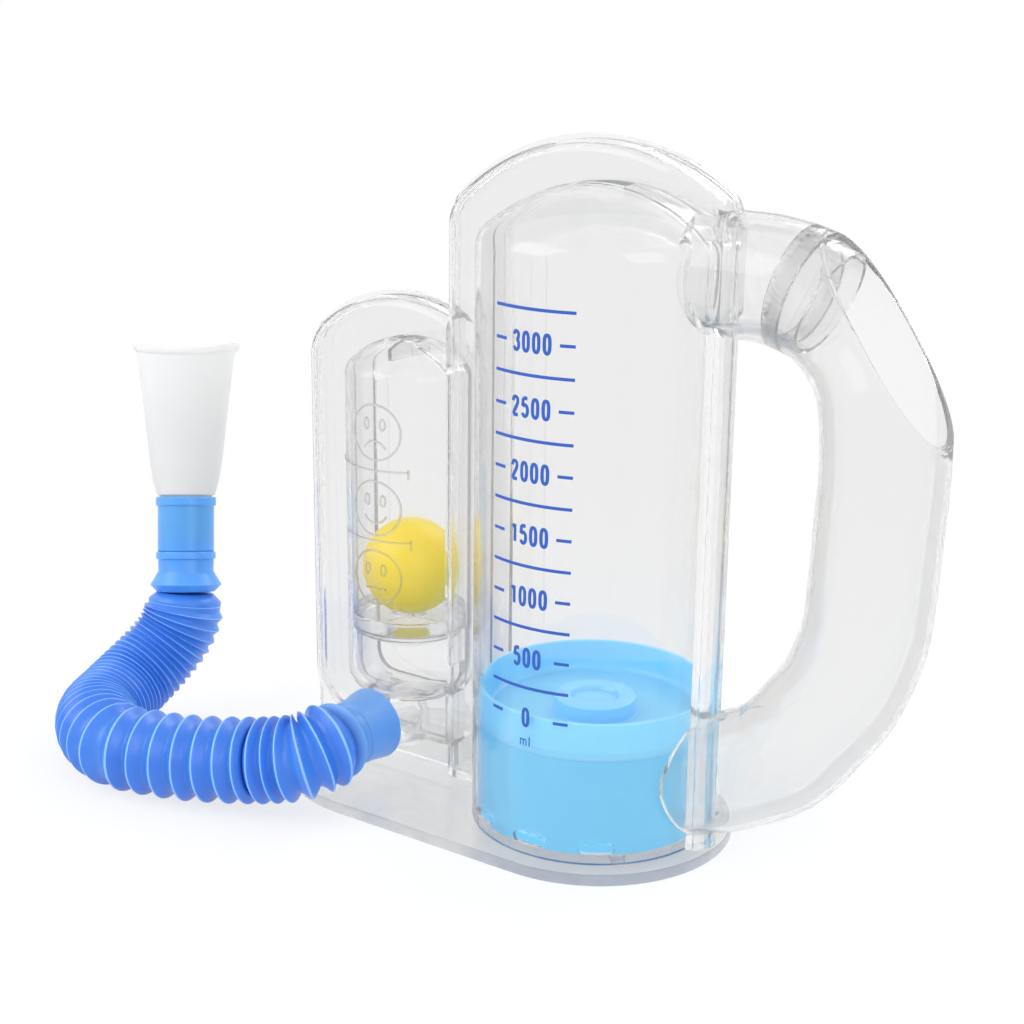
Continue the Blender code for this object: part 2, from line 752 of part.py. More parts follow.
# Moving pieces
def build_piston(group):
    """A cup on a skirt, with a raised ring and a shallow recess in the middle of its floor."""
    r = bore_radius - running_gap
    floor = piston_floor
    boss = floor + piston_boss_height
    recess = boss - piston_recess_depth
    under = floor - piston_wall
    profile = [
        (0, recess), (piston_recess_radius, recess), (piston_recess_radius + piston_lip, boss),
        (piston_boss_radius - piston_lip, boss), (piston_boss_radius, boss - piston_lip),
        (piston_boss_radius, floor), (r - 2 * piston_wall, floor),
        (r - piston_wall, floor + piston_wall), (r - piston_wall, piston_top - piston_lip / 2),
        (r - piston_wall / 2, piston_top), (r - piston_lip / 3, piston_top - piston_lip / 3),
        (r, piston_top - piston_lip), (r, floor + piston_lip / 2), (r - piston_lip / 2, floor),
        (r - piston_lip / 2, under), (r, under - piston_lip / 2), (r, piston_bottom),
        (r - piston_wall, piston_bottom), (r - piston_wall, under), (0, under),
    ]
    return turned("piston", profile, chamber_sides, group)


def build_ball(group):
    work = bmesh.new()
    bmesh.ops.create_uvsphere(work, u_segments=24, v_segments=14, radius=ball_radius)
    mesh = bpy.data.meshes.new("ball")
    work.to_mesh(mesh)
    work.free()
    ball = add_object("ball", mesh, group)
    ball.location = (flow_x, 0, ball_z)
    return ball


def build_seat(group):
    r = flow_bore - seam_gap
    profile = [
        (seat_hole_radius + seat_chamfer, seat_top), (r, seat_top), (r, seat_bottom + seam_gap),
        (seat_hole_radius, seat_bottom + seam_gap), (seat_hole_radius, seat_top - seat_chamfer),
        (seat_hole_radius + seat_chamfer, seat_top),
    ]
    seat = turned("seat", profile[:-1], flow_sides, group, closed=False)
    seat.data.transform(Matrix.Translation((flow_x, 0, 0)))
    return trim_to_rim(seat, group)


def build_funnel(group):
    """A cone that leads the air from the lower space to the seat's hole."""
    top = seat_bottom - seam_gap
    r = flow_bore - seat_ledge - seam_gap
    low = top - funnel_height
    profile = [
        (r - funnel_wall, top), (r, top), (r, top - funnel_lip),
        (funnel_hole_radius + funnel_wall, low), (funnel_hole_radius, low),
        (r - funnel_wall, top - funnel_lip),
    ]
    funnel = turned("funnel", profile, flow_sides, group, closed=False)
    funnel.data.transform(Matrix.Translation((flow_x, 0, 0)))
    return trim_to_rim(funnel, group)


def trim_to_rim(thing, group):
    """Clears an insert from the tall rim, whose side cuts into the flow chamber's bore."""
    room = slab("rim_clearance", tall_outline(seam_gap), rim_half_depth + seam_gap, 0, group)
    combine(thing, [room], "DIFFERENCE")
    return thing


# Hose, cuffs and mouthpiece
def build_upper_cuff(group):
    """Bell, neck, ring, barrel and lip, from its foot up, with a stepped bore."""
    heights = [0]
    for length in (cuff_bell, cuff_neck, cuff_ring, cuff_barrel, cuff_lip):
        heights.append(heights[-1] + length)
    foot, bell, neck, ring, barrel, top = heights
    inner = mouth_spigot_radius - mouth_wall
    stop = top - mouth_spigot_length - seam_gap
    profile = [
        (cuff_bore, top), (cuff_lip_radius, top), (cuff_lip_radius, barrel), (cuff_radius, barrel),
        (cuff_radius, ring), (cuff_ring_radius, ring), (cuff_ring_radius, neck),
        (cuff_radius, neck), (cuff_radius, bell), (cuff_bell_radius, bell * bell_crest_share),
        (cuff_radius, foot), (inner, foot), (inner, stop), (cuff_bore, stop),
    ]
    cuff = turned("cuff", profile, cuff_sides, group, closed=False)
    return aimed(cuff, upper_cuff_foot, mouthpiece_way)


def build_lower_cuff(group):
    """The same cuff stretched over the port, so that its end is flared."""
    length = flared_total
    bore = port_spigot_radius + seam_gap
    inner = port_bore
    stop = length - (port_end - cuff_start) - seam_gap
    profile = [
        (bore, length), (flared_radius, length), (flared_radius - flared_wall, length - flared_length),
        (flared_band_radius, length - flared_length), (flared_band_radius, flared_bell),
        (cuff_bell_radius, flared_bell * bell_crest_share), (cuff_radius, 0), (inner, 0),
        (inner, stop), (bore, stop),
    ]
    cuff = turned("cuff", profile, cuff_sides, group, closed=False)
    return aimed(cuff, lower_cuff_foot, -front)


def build_hose(group):
    """A plain tube between the two cuffs, its ends cut square to them."""
    hose = tube("hose", smooth_route(hose_route, hose_steps), hose_radius, hose_sides, group)
    lower = beyond(lower_cuff_foot + front * seam_gap, -front, group, 2 * hose_radius)
    upper = beyond(Vector(upper_cuff_foot) - mouthpiece_way * seam_gap, mouthpiece_way, group,
                   2 * hose_radius)
    return combine(hose, [lower, upper], "DIFFERENCE")


def oval(half_width, half_depth, z, sides):
    points = []
    for i in range(sides):
        turn = 2 * math.pi * i / sides
        points.append((half_width * math.cos(turn), half_depth * math.sin(turn), z))
    return points


def loft(name, rings, group):
    """A closed skin through rings that run up the outside and down the inside."""
    work = bmesh.new()
    loops = [[work.verts.new(p) for p in ring] for ring in rings]
    for a, b in zip(loops, loops[1:] + loops[:1]):
        for i in range(len(a)):
            j = (i + 1) % len(a)
            work.faces.new((a[i], a[j], b[j], b[i]))
    bmesh.ops.recalc_face_normals(work, faces=work.faces)
    mesh = bpy.data.meshes.new(name)
    work.to_mesh(mesh)
    work.free()
    return add_object(name, mesh, group)


def build_mouthpiece(group):
    """Local Z runs up its axis and local X across its width; zero is the cuff's lip."""
    gap = seam_gap
    spigot = mouth_spigot_radius
    outside = [(spigot, spigot, -mouth_spigot_length + gap), (spigot, spigot, gap)]
    for height, width, depth in mouth_section_shares:
        outside.append((width * mouth_lip_half_width, depth * mouth_half_depth,
                        2 * gap + height * mouth_length))
    side, deep, z = outside[-1]
    lip = mouth_lip_half_width
    lip_depth = mouth_half_depth
    outside += [(lip, lip_depth, z + mouth_lip_slope_share * mouth_lip_height),
                (lip, lip_depth, mouth_length)]
    inside = [(lip - mouth_wall, lip_depth - mouth_wall, mouth_length)]
    inside += [(w - mouth_wall, d - mouth_wall, h) for w, d, h in reversed(outside[:-2])]
    rings = [oval(w, d, h, mouth_sides) for w, d, h in outside + inside]
    piece = loft("mouthpiece", rings, group)
    across = Vector((*mouthpiece_across, 0))
    across = (across - mouthpiece_way * across.dot(mouthpiece_way)).normalized()
    turn = Matrix((across, mouthpiece_way.cross(across), mouthpiece_way)).transposed().to_4x4()
    place = Vector(upper_cuff_foot) + mouthpiece_way * upper_cuff_length
    piece.data.transform(turn)
    piece.location = place
    return piece


def main():
    clear_scene()
    parts = new_collection("incentive_spirometer")
    work = new_collection("cutters")
    clear = plastic("clear_polystyrene", (0.86, 0.87, 0.88), 0.08, 0.8)
    sky = plastic("sky_blue_plastic", (0.24, 0.59, 0.95), 0.35)
    yellow = plastic("yellow_plastic", (0.80, 0.66, 0.10), 0.4)
    blue = plastic("blue_polyethylene", (0.05, 0.19, 0.78), 0.35)
    cuff_blue = plastic("blue_cuff_plastic", (0.11, 0.36, 0.86), 0.3)
    frosted = plastic("frosted_plastic", (0.80, 0.80, 0.82), 0.5)

    casing = build_casing(work)
    make_part(half_casing(casing, -1, work), "front_shell", parts, clear)
    make_part(half_casing(casing, 1, work), "back_shell", parts, clear)
    make_part(build_tray(work), "base_tray", parts, clear)
    make_part(build_handle(work), "handle", parts, clear)
    make_part(build_piston(work), "piston", parts, sky)
    make_part(build_ball(work), "flow_ball", parts, yellow)
    make_part(build_seat(work), "ball_seat", parts, clear)
    make_part(build_funnel(work), "flow_funnel", parts, clear)
    make_part(build_lower_cuff(work), "lower_cuff", parts, cuff_blue)
    make_part(build_hose(work), "hose", parts, blue)
    make_part(build_upper_cuff(work), "upper_cuff", parts, cuff_blue)
    make_part(build_mouthpiece(work), "mouthpiece", parts, frosted)
    for helper in list(work.objects):
        drop(helper)


main()
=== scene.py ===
import math

import bmesh
import bpy
from mathutils import Matrix, Vector


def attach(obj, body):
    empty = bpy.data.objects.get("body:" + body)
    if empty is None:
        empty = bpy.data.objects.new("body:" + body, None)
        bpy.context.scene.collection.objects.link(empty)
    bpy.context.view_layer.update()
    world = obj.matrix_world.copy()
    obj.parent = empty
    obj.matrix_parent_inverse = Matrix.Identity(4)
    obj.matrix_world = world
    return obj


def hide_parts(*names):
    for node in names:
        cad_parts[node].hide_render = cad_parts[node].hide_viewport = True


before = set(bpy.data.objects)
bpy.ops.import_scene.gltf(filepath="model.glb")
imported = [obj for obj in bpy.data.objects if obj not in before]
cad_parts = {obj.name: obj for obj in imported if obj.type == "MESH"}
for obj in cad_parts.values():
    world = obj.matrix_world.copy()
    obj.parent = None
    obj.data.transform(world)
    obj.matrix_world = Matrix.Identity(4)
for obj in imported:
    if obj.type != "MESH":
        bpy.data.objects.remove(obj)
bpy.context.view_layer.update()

mm = 0.001
scene = bpy.context.scene
scene.view_settings.view_transform = "Standard"
scene.cycles.max_bounces = 28         # a line of sight crosses many clear walls
scene.cycles.transmission_bounces = 24
scene.cycles.transparent_max_bounces = 40


# Camera, at the photograph's place
print("camera")
camera = {
    "place": (0.3385, -0.5377, 0.3079),
    "right": (0.81692, 0.57664, 0.01159),
    "up": (-0.17259, 0.22523, 0.95890),
    "back": (0.55033, -0.78534, 0.28351),
    "lens": 65.33,
}
cameraData = bpy.data.cameras.new("studioCamera")
cameraData.lens = camera["lens"]
cameraData.sensor_width = 36
cameraData.clip_start = 0.01
cameraObject = bpy.data.objects.new("studioCamera", cameraData)
scene.collection.objects.link(cameraObject)
turn = Matrix((camera["right"], camera["up"], camera["back"])).transposed().to_4x4()
cameraObject.matrix_world = Matrix.Translation(camera["place"]) @ turn
scene.camera = cameraObject


# Colours and nodes
def hexColour(text):
    parts = [int(text[i:i + 2], 16) / 255 for i in (1, 3, 5)]
    linear = [c / 12.92 if c <= 0.04045 else ((c + 0.055) / 1.055) ** 2.4 for c in parts]
    return (*linear, 1.0)


def addNode(tree, kind, values=None, links=None, **settings):
    node = tree.nodes.new(kind)
    for key, value in settings.items():
        setattr(node, key, value)
    for socket, value in (values or {}).items():
        node.inputs[socket].default_value = value
    for socket, source in (links or {}).items():
        tree.links.new(source, node.inputs[socket])
    return node


def newMaterial(name):
    material = bpy.data.materials.new(name)
    material.use_nodes = True
    material.node_tree.nodes.clear()
    return material, material.node_tree


def finishMaterial(tree, surface):
    addNode(tree, "ShaderNodeOutputMaterial", links={"Surface": surface})


# Crystal polystyrene, injection moulded: it bends the light and takes a little of it at each
# wall. Lamps and the scattered light pass straight through to what is inside, and so does the
# straight share of what is seen.
def clearPolystyrene(name, tint, straight=0.0):
    material, tree = newMaterial(name)
    place = addNode(tree, "ShaderNodeTexCoord").outputs["Object"]
    wave = addNode(tree, "ShaderNodeTexNoise", {"Scale": 22.0, "Detail": 1.0}, {"Vector": place})
    bump = addNode(tree, "ShaderNodeBump", {"Strength": 0.25, "Distance": 0.1 * mm},
                   {"Height": wave.outputs[0]})
    skin = addNode(tree, "ShaderNodeBsdfPrincipled", {
        "Base Color": hexColour(tint), "Roughness": 0.015, "IOR": 1.3,
        "Transmission Weight": 1.0}, {"Normal": bump.outputs["Normal"]})
    through = addNode(tree, "ShaderNodeBsdfTransparent", {"Color": hexColour("#FEFEFE")})
    path = addNode(tree, "ShaderNodeLightPath")
    lit = addNode(tree, "ShaderNodeMath", links={0: path.outputs["Is Shadow Ray"],
                                                 1: path.outputs["Is Diffuse Ray"]},
                  operation="MAXIMUM")
    share = addNode(tree, "ShaderNodeMath", {1: straight}, {0: lit.outputs[0]},
                    operation="MAXIMUM")
    mix = addNode(tree, "ShaderNodeMixShader",
                  links={0: share.outputs[0], 1: skin.outputs[0], 2: through.outputs[0]})
    finishMaterial(tree, mix.outputs[0])
    return material


# The faces where the two halves are welded: the plastic runs on, so light isn't bent there
weldedFace, tree = newMaterial("crystalPolystyreneWelded")
clear = addNode(tree, "ShaderNodeBsdfTransparent", {"Color": (1, 1, 1, 1)})
finishMaterial(tree, clear.outputs[0])


# Coloured plastics: two close shades in slow clouds, and a fine grain from the mould
def colouredPlastic(name, look):
    material, tree = newMaterial(name)
    place = addNode(tree, "ShaderNodeTexCoord").outputs["Object"]
    cloud = addNode(tree, "ShaderNodeTexNoise", {"Scale": look["cloudSize"], "Detail": 3.0},
                    {"Vector": place})
    shade = addNode(tree, "ShaderNodeMix", {6: hexColour(look["colour"]),
                                            7: hexColour(look["shade"])},
                    {0: cloud.outputs[0]}, data_type="RGBA")
    colour = shade.outputs[2]
    # Painted light: from a given height up, the colour turns lighter, standing for the light on
    # the top of the piston
    if "upper" in look:
        up = addNode(tree, "ShaderNodeSeparateXYZ", links={0: place}).outputs["Z"]
        band = addNode(tree, "ShaderNodeMapRange", {"From Min": look["upperFrom"],
                                                    "From Max": look["upperTo"]}, {"Value": up})
        withPaintedLight = addNode(tree, "ShaderNodeMix", {7: hexColour(look["upper"])},
                       {0: band.outputs[0], 6: colour}, data_type="RGBA")
        colour = withPaintedLight.outputs[2]
    # Painted highlight: a lighter line on the tops of the hose's ridges
    if "crestHighlight" in look:
        crestHighlight = addNode(tree, "ShaderNodeAttribute", attribute_name="crestHighlight").outputs["Fac"]
        steps = addNode(tree, "ShaderNodeValToRGB", links={0: crestHighlight})
        ramp = steps.color_ramp
        ramp.elements[0].position = look["crestHighlightFrom"]
        ramp.elements[0].color = (0, 0, 0, 1)
        ramp.elements[1].position = look["crestHighlightTo"]
        ramp.elements[1].color = (1, 1, 1, 1)
        edge = addNode(tree, "ShaderNodeMix", {7: hexColour(look["crestHighlight"])},
                       {0: steps.outputs[0], 6: colour}, data_type="RGBA")
        colour = edge.outputs[2]
    grain = addNode(tree, "ShaderNodeTexNoise", {"Scale": look["grainSize"], "Detail": 2.0},
                    {"Vector": place})
    bump = addNode(tree, "ShaderNodeBump", {"Strength": 0.2, "Distance": look["grainDepth"]},
                   {"Height": grain.outputs[0]})
    rough = addNode(tree, "ShaderNodeMapRange", {"To Min": look["roughness"],
                                                 "To Max": look["roughness"] + 0.08},
                    {"Value": grain.outputs[0]})
    skin = addNode(tree, "ShaderNodeBsdfPrincipled", {
        "IOR": look["ior"], "Subsurface Weight": look["glow"],
        "Subsurface Radius": look["glowReach"], "Subsurface Scale": look["glowScale"]},
        {"Base Color": colour, "Roughness": rough.outputs[0], "Normal": bump.outputs["Normal"]})
    surface = skin.outputs[0]
    if look.get("clear", 0) > 0:
        through = addNode(tree, "ShaderNodeBsdfTransparent", {"Color": hexColour(look["tint"])})
        mix = addNode(tree, "ShaderNodeMixShader", {0: look["clear"]},
                      {1: surface, 2: through.outputs[0]})
        surface = mix.outputs[0]
    finishMaterial(tree, surface)
    return material


print("materials")
clearWall = clearPolystyrene("crystalPolystyreneMoulded", "#F5F5F5", straight=0.1)
# The tray is the same plastic with a darker grey tint: painted shade on the base
clearTrayPaintedShade = clearPolystyrene("crystalPolystyreneTrayPaintedShade", "#D9D9D9", straight=0.4)
# The raised signs are the same plastic with a greyer tint: painted shade along the lines
clearRaisedPaintedShade = clearPolystyrene("crystalPolystyreneRaisedPaintedShade", "#E8E8E8")
# Low density polyethylene, blow moulded: a waxy blue that glows a little where it is thin
polyethylene = {"cloudSize": 40, "grainSize": 900, "grainDepth": 0.03 * mm, "roughness": 0.3,
                "ior": 1.51, "glow": 0.35, "glowReach": (0.4, 0.8, 1.6), "glowScale": 4 * mm}
# The pale line on the hose's crests is a painted highlight
hoseBlue = colouredPlastic("polyethyleneBlowMouldedBlue", {
    **polyethylene, "colour": "#2E70D8", "shade": "#4B90E8", "crestHighlight": "#8FBCF8",
    "crestHighlightFrom": 0.95, "crestHighlightTo": 0.99, "cloudSize": 30, "roughness": 0.28,
    "glowScale": 3 * mm})
# The cuffs are the same plastic, thicker and paler. The lower cuff takes a greyer, paler copy of
# the colour: painted light on it.
cuffBlue = colouredPlastic("polyethyleneCuffBlue", {
    **polyethylene, "colour": "#4C97EE", "shade": "#5AA4F2"})
lowerCuffPaintedLightBlue = colouredPlastic("polyethyleneCuffBluePaintedLightLower", {
    **polyethylene, "colour": "#6499DC", "shade": "#6FA3E4"})
# Polypropylene, injection moulded: even sky blue, a little milky. On the piston the part above its
# groove is painted lighter: painted light on its top.
polypropylene = {"cloudSize": 40, "grainSize": 700, "grainDepth": 0.02 * mm, "roughness": 0.3,
                 "ior": 1.49, "glow": 0.5, "glowReach": (1.0, 1.0, 1.0), "glowScale": 6 * mm}
pistonBlue = colouredPlastic("polypropyleneSkyBlue", {
    **polypropylene, "colour": "#6FC3FF", "shade": "#79C9FF", "upper": "#8AD0FF",
    "upperFrom": 43.0 * mm, "upperTo": 43.6 * mm, "cloudSize": 20,
    "glowReach": (0.6, 1.0, 1.6)})
# Thin hollow polypropylene ball: warm yellow that light passes into
ballYellow = colouredPlastic("polypropyleneYellow", {
    **polypropylene, "colour": "#EAD23A", "shade": "#E6CE44", "cloudSize": 60,
    "roughness": 0.42, "glowReach": (1.4, 1.1, 0.4)})
# Polypropylene with a frosted skin: white, and the light comes through
frostedWhite = colouredPlastic("polypropyleneFrosted", {
    **polypropylene, "colour": "#EDEDED", "shade": "#F1F1F1", "grainSize": 1500,
    "grainDepth": 0.04 * mm, "roughness": 0.5, "glow": 0.6, "glowScale": 5 * mm,
    "clear": 0.26, "tint": "#F8F8F8"})
# Screen printing ink: flat and a little raised
printInk = colouredPlastic("screenPrintBlue", {
    "colour": "#1F51B0", "shade": "#2458B8", "cloudSize": 80, "grainSize": 1200,
    "grainDepth": 0.01 * mm, "roughness": 0.45, "ior": 1.5, "glow": 0.0,
    "glowReach": (1.0, 1.0, 1.0), "glowScale": 1 * mm})


# Making pieces: shapes are in millimetres until they are finished
weldReach = 0.002       # points closer than this are one


def meshObject(name, bm, smooth=50):
    bmesh.ops.recalc_face_normals(bm, faces=bm.faces)
    bm.transform(Matrix.Scale(mm, 4))
    mesh = bpy.data.meshes.new(name)
    bm.to_mesh(mesh)
    bm.free()
    mesh.shade_smooth()
    mesh.set_sharp_from_angle(angle=math.radians(smooth))
    piece = bpy.data.objects.new(name, mesh)
    scene.collection.objects.link(piece)
    return piece


def dress(piece, material, body, nodes=(), even=True):
    piece.data.materials.clear()
    piece.data.materials.append(material)
    if even:
        normals = piece.modifiers.new("evenNormals", "WEIGHTED_NORMAL")
        normals.keep_sharp = True
    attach(piece, body)
    if nodes:
        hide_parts(*nodes)
    return piece


# A shape as an object that booleans can work on
def plainSolid(bm):
    if isinstance(bm, bpy.types.Object):
        return bm
    bmesh.ops.recalc_face_normals(bm, faces=bm.faces)
    mesh = bpy.data.meshes.new("solid")
    bm.to_mesh(mesh)
    bm.free()
    thing = bpy.data.objects.new("solid", mesh)
    scene.collection.objects.link(thing)
    return thing


def takenMesh(thing):
    bpy.context.view_layer.update()
    graph = bpy.context.evaluated_depsgraph_get()
    return bpy.data.meshes.new_from_object(thing.evaluated_get(graph))


# Joins or cuts a solid with the others, which are used up
def combine(thing, others, operation):
    thing = plainSolid(thing)
    for other in map(plainSolid, others):
        change = thing.modifiers.new("join", "BOOLEAN")
        change.operation = operation
        change.solver = "MANIFOLD"
        change.object = other
        mesh = takenMesh(thing)
        thing.modifiers.clear()
        old = thing.data
        thing.data = mesh
        bpy.data.meshes.remove(old)
        bpy.data.objects.remove(other, do_unlink=True)
    return thing


def clearPiece(thing, name, node, material=clearWall):
    bm = bmesh.new()
    bm.from_mesh(thing.data)
    bpy.data.objects.remove(thing, do_unlink=True)
    return dress(meshObject(name, bm, smooth=35), material, "casing", [node])


# A round rod through the given places; an open one has flat ends
def rodShape(places, radius, roundness, closed):
    curve = bpy.data.curves.new("rod", "CURVE")
    curve.dimensions = "3D"
    curve.bevel_depth = radius
    curve.bevel_resolution = roundness
    curve.use_fill_caps = not closed
    spline = curve.splines.new("POLY")
    spline.points.add(len(places) - 1)
    spline.use_cyclic_u = closed
    for point, place in zip(spline.points, places):
        point.co = (*place, 1)
    thing = bpy.data.objects.new("rod", curve)
    scene.collection.objects.link(thing)
    mesh = takenMesh(thing)
    bpy.data.objects.remove(thing, do_unlink=True)
    bm = bmesh.new()
    bm.from_mesh(mesh)
    bpy.data.meshes.remove(mesh)
    bmesh.ops.remove_doubles(bm, verts=bm.verts, dist=weldReach)
    return bm


# Puts shapes together as they are, and uses them up
def gathered(shapes):
    whole = bmesh.new()
    for bm in shapes:
        mesh = bpy.data.meshes.new("gathered")
        bm.to_mesh(mesh)
        bm.free()
        whole.from_mesh(mesh)
        bpy.data.meshes.remove(mesh)
    return whole


# Spins a profile of (radius, height) about Z. A ring profile comes back to its start.
def turnedShape(profile, sides, ring=False):
    bm = bmesh.new()
    verts = [bm.verts.new((r, 0, z)) for r, z in profile]
    edges = [bm.edges.new(pair) for pair in zip(verts, verts[1:])]
    if ring:
        edges.append(bm.edges.new((verts[-1], verts[0])))
    bmesh.ops.spin(bm, geom=verts + edges, cent=(0, 0, 0), axis=(0, 0, 1), angle=2 * math.pi,
                   steps=sides, use_merge=True, use_duplicate=False)
    bmesh.ops.remove_doubles(bm, verts=bm.verts, dist=weldReach)
    return bm


def aimAt(bm, place, way):
    turn = Vector((0, 0, 1)).rotation_difference(Vector(way)).to_matrix().to_4x4()
    bm.transform(Matrix.Translation(place) @ turn)
    return bm


# Evenly stepped points on a smooth curve through the given places
def smoothPath(places, steps):
    places = [Vector(p) for p in places]
    ends = [2 * places[0] - places[1], *places, 2 * places[-1] - places[-2]]
    fine = []
    for a, b, c, d in zip(ends, ends[1:], ends[2:], ends[3:]):
        for i in range(16):
            t = i / 16
            fine.append(0.5 * (2 * b + (c - a) * t + (2 * a - 5 * b + 4 * c - d) * t ** 2
                               + (3 * b - a - 3 * c + d) * t ** 3))
    fine.append(places[-1])
    along = [0.0]
    for a, b in zip(fine, fine[1:]):
        along.append(along[-1] + (b - a).length)
    even = []
    spot = 0
    for i in range(steps + 1):
        goal = along[-1] * i / steps
        while spot < len(fine) - 2 and along[spot + 1] < goal:
            spot += 1
        share = (goal - along[spot]) / (along[spot + 1] - along[spot])
        even.append(fine[spot].lerp(fine[spot + 1], min(share, 1)))
    return even


def pathLength(points):
    return sum((b - a).length for a, b in zip(points, points[1:]))


def arcPoints(x, z, radius, start, end, steps, stretch=1):
    turns = [math.radians(start + (end - start) * i / steps) for i in range(steps + 1)]
    return [(x + radius * math.cos(t), z + radius * stretch * math.sin(t)) for t in turns]


def box(low, high):
    bm = bmesh.new()
    bmesh.ops.create_cube(bm, size=1)
    size = [b - a for a, b in zip(low, high)]
    middle = [(a + b) / 2 for a, b in zip(low, high)]
    bm.transform(Matrix.Translation(middle) @ Matrix.Diagonal((*size, 1)))
    return bm


# An outline in the XZ plane given depth along Y, with rounded front and back edges
def slabShape(outline, halfDepth, rounding=0):
    bm = bmesh.new()
    face = bm.faces.new([bm.verts.new((x, halfDepth, z)) for x, z in outline])
    made = bmesh.ops.extrude_face_region(bm, geom=[face])
    bmesh.ops.translate(bm, vec=(0, -2 * halfDepth, 0),
                        verts=[v for v in made["geom"] if isinstance(v, bmesh.types.BMVert)])
    bmesh.ops.recalc_face_normals(bm, faces=bm.faces)
    if rounding > 0:
        caps = [e for e in bm.edges if abs(e.verts[0].co.y - e.verts[1].co.y) < halfDepth]
        bmesh.ops.bevel(bm, geom=caps, offset=rounding, offset_type="OFFSET", affect="EDGES",
                        segments=5, profile=0.5, material=-1, clamp_overlap=False)
    return bm


# Joins rings of points, each with as many, into a skin
def skinned(bm, rings, around=False):
    edges = []
    for ring in rings:
        inside = set(ring)
        edges.append([e for e in {e for v in ring for e in v.link_edges}
                      if e.verts[0] in inside and e.verts[1] in inside])
    pairs = list(zip(edges, edges[1:]))
    if around:
        pairs.append((edges[-1], edges[0]))
    for first, second in pairs:
        bmesh.ops.bridge_loops(bm, edges=first + second)
    return bm


def closedEnds(bm, sides):
    bmesh.ops.holes_fill(bm, edges=[e for e in bm.edges if len(e.link_faces) == 1], sides=sides)
    return bm


# A round tube along a route in the XZ plane; with a wall it is hollow and open
def tubeShape(points, radius, sides, wall=0):
    bm = bmesh.new()
    rings = []
    for r in (radius, radius - wall) if wall else (radius,):
        row = []
        for i, p in enumerate(points):
            way = (points[min(i + 1, len(points) - 1)] - points[max(i - 1, 0)]).normalized()
            side = Vector((0, 1, 0))
            frameAt = Matrix((side, way.cross(side), way)).transposed().to_4x4()
            made = bmesh.ops.create_circle(bm, cap_ends=False, segments=sides, radius=r,
                                           matrix=Matrix.Translation(p) @ frameAt)
            row.append(made["verts"])
        rings += row if r == radius else row[::-1]
    skinned(bm, rings, around=wall > 0)
    return bm if wall else closedEnds(bm, sides)


# Hose: bellows of sharp ridges, drawn out on the table and pushed together in the rise
print("hose")
hose = {
    "ridgeRadius": 16.4, "valleyRadius": 12.9, "closeValleyRadius": 14.9, "diameter": 32.0,
    "startPitch": 5.2, "drawnPitch": 8.6, "closePitch": 3.3,
    # where the pitch changes, as shares of the length
    "startUntil": 0.13, "drawnFrom": 0.2, "drawnUntil": 0.42, "closeFrom": 0.60,
    "endRadius": 11.6, "sides": 64, "lastReach": 4.5, "lastRidgeRadius": 14.9,
    # one ridge: place along the pitch and height, as shares
    "ridgeShape": ((-0.46, 0.0), (-0.3, 0.32), (-0.12, 0.8), (-0.035, 0.98), (0.0, 1.0),
                   (0.035, 0.98), (0.12, 0.8), (0.3, 0.32), (0.46, 0.0)),
    "start": (-85.6, -47.7, 26.2), "cuffFoot": (-194.6, -13.7, 54.3), "endGap": 0.2,
    "steps": 600, "startUntilX": -120, "cuffGap": 0.3,
}
# The same route as the solid's: out of the cuff, round on the table, back and up
hoseRoute = [
    (-85.6, -44.0, 26.2), (-86.1, -50.5, 25.7), (-91.3, -58.8, 22.9), (-100.6, -63.6, 20.8),
    (-110.4, -67.2, 19.3), (-120.2, -70.6, 18.1), (-130.1, -73.9, 17.2), (-140.2, -77.2, 16.7),
    (-150.8, -80.0, 16.5), (-164.5, -82.3, 16.5), (-179.3, -77.8, 16.5), (-192.2, -67.2, 16.7),
    (-197.9, -52.8, 18.3), (-199.9, -40.7, 21.8), (-198.7, -29.7, 28.0), (-196.1, -21.0, 36.2),
    (-194.3, -16.2, 45.2), (-194.9, -13.1, 57.5),
]
mouthWay = Vector((-0.1726, 0.2253, 0.9589)).normalized()
mouthAcross = Vector((0.817, 0.5766, 0))
mouthAcross = (mouthAcross - mouthWay * mouthAcross.dot(mouthWay)).normalized()


def hosePath():
    fine = smoothPath(hoseRoute, hose["steps"])
    foot = Vector(hose["cuffFoot"])
    return [p for p in fine if p.y < hose["start"][1] or p.x < hose["startUntilX"]
            if (p - foot).dot(mouthWay) < -hose["cuffGap"]]


def ridgePlaces(length):
    places = []
    s = hose["startPitch"] * 0.5
    while s < length - hose["closePitch"] * 0.4:
        share = s / length
        blend = (share - hose["drawnUntil"]) / (hose["closeFrom"] - hose["drawnUntil"])
        blend = min(max(blend, 0), 1)
        early = (share - hose["startUntil"]) / (hose["drawnFrom"] - hose["startUntil"])
        early = min(max(early, 0), 1)
        drawn = hose["startPitch"] + (hose["drawnPitch"] - hose["startPitch"]) * early
        pitch = drawn + (hose["closePitch"] - drawn) * blend
        places.append((s, pitch, blend))
        s += pitch
    return places


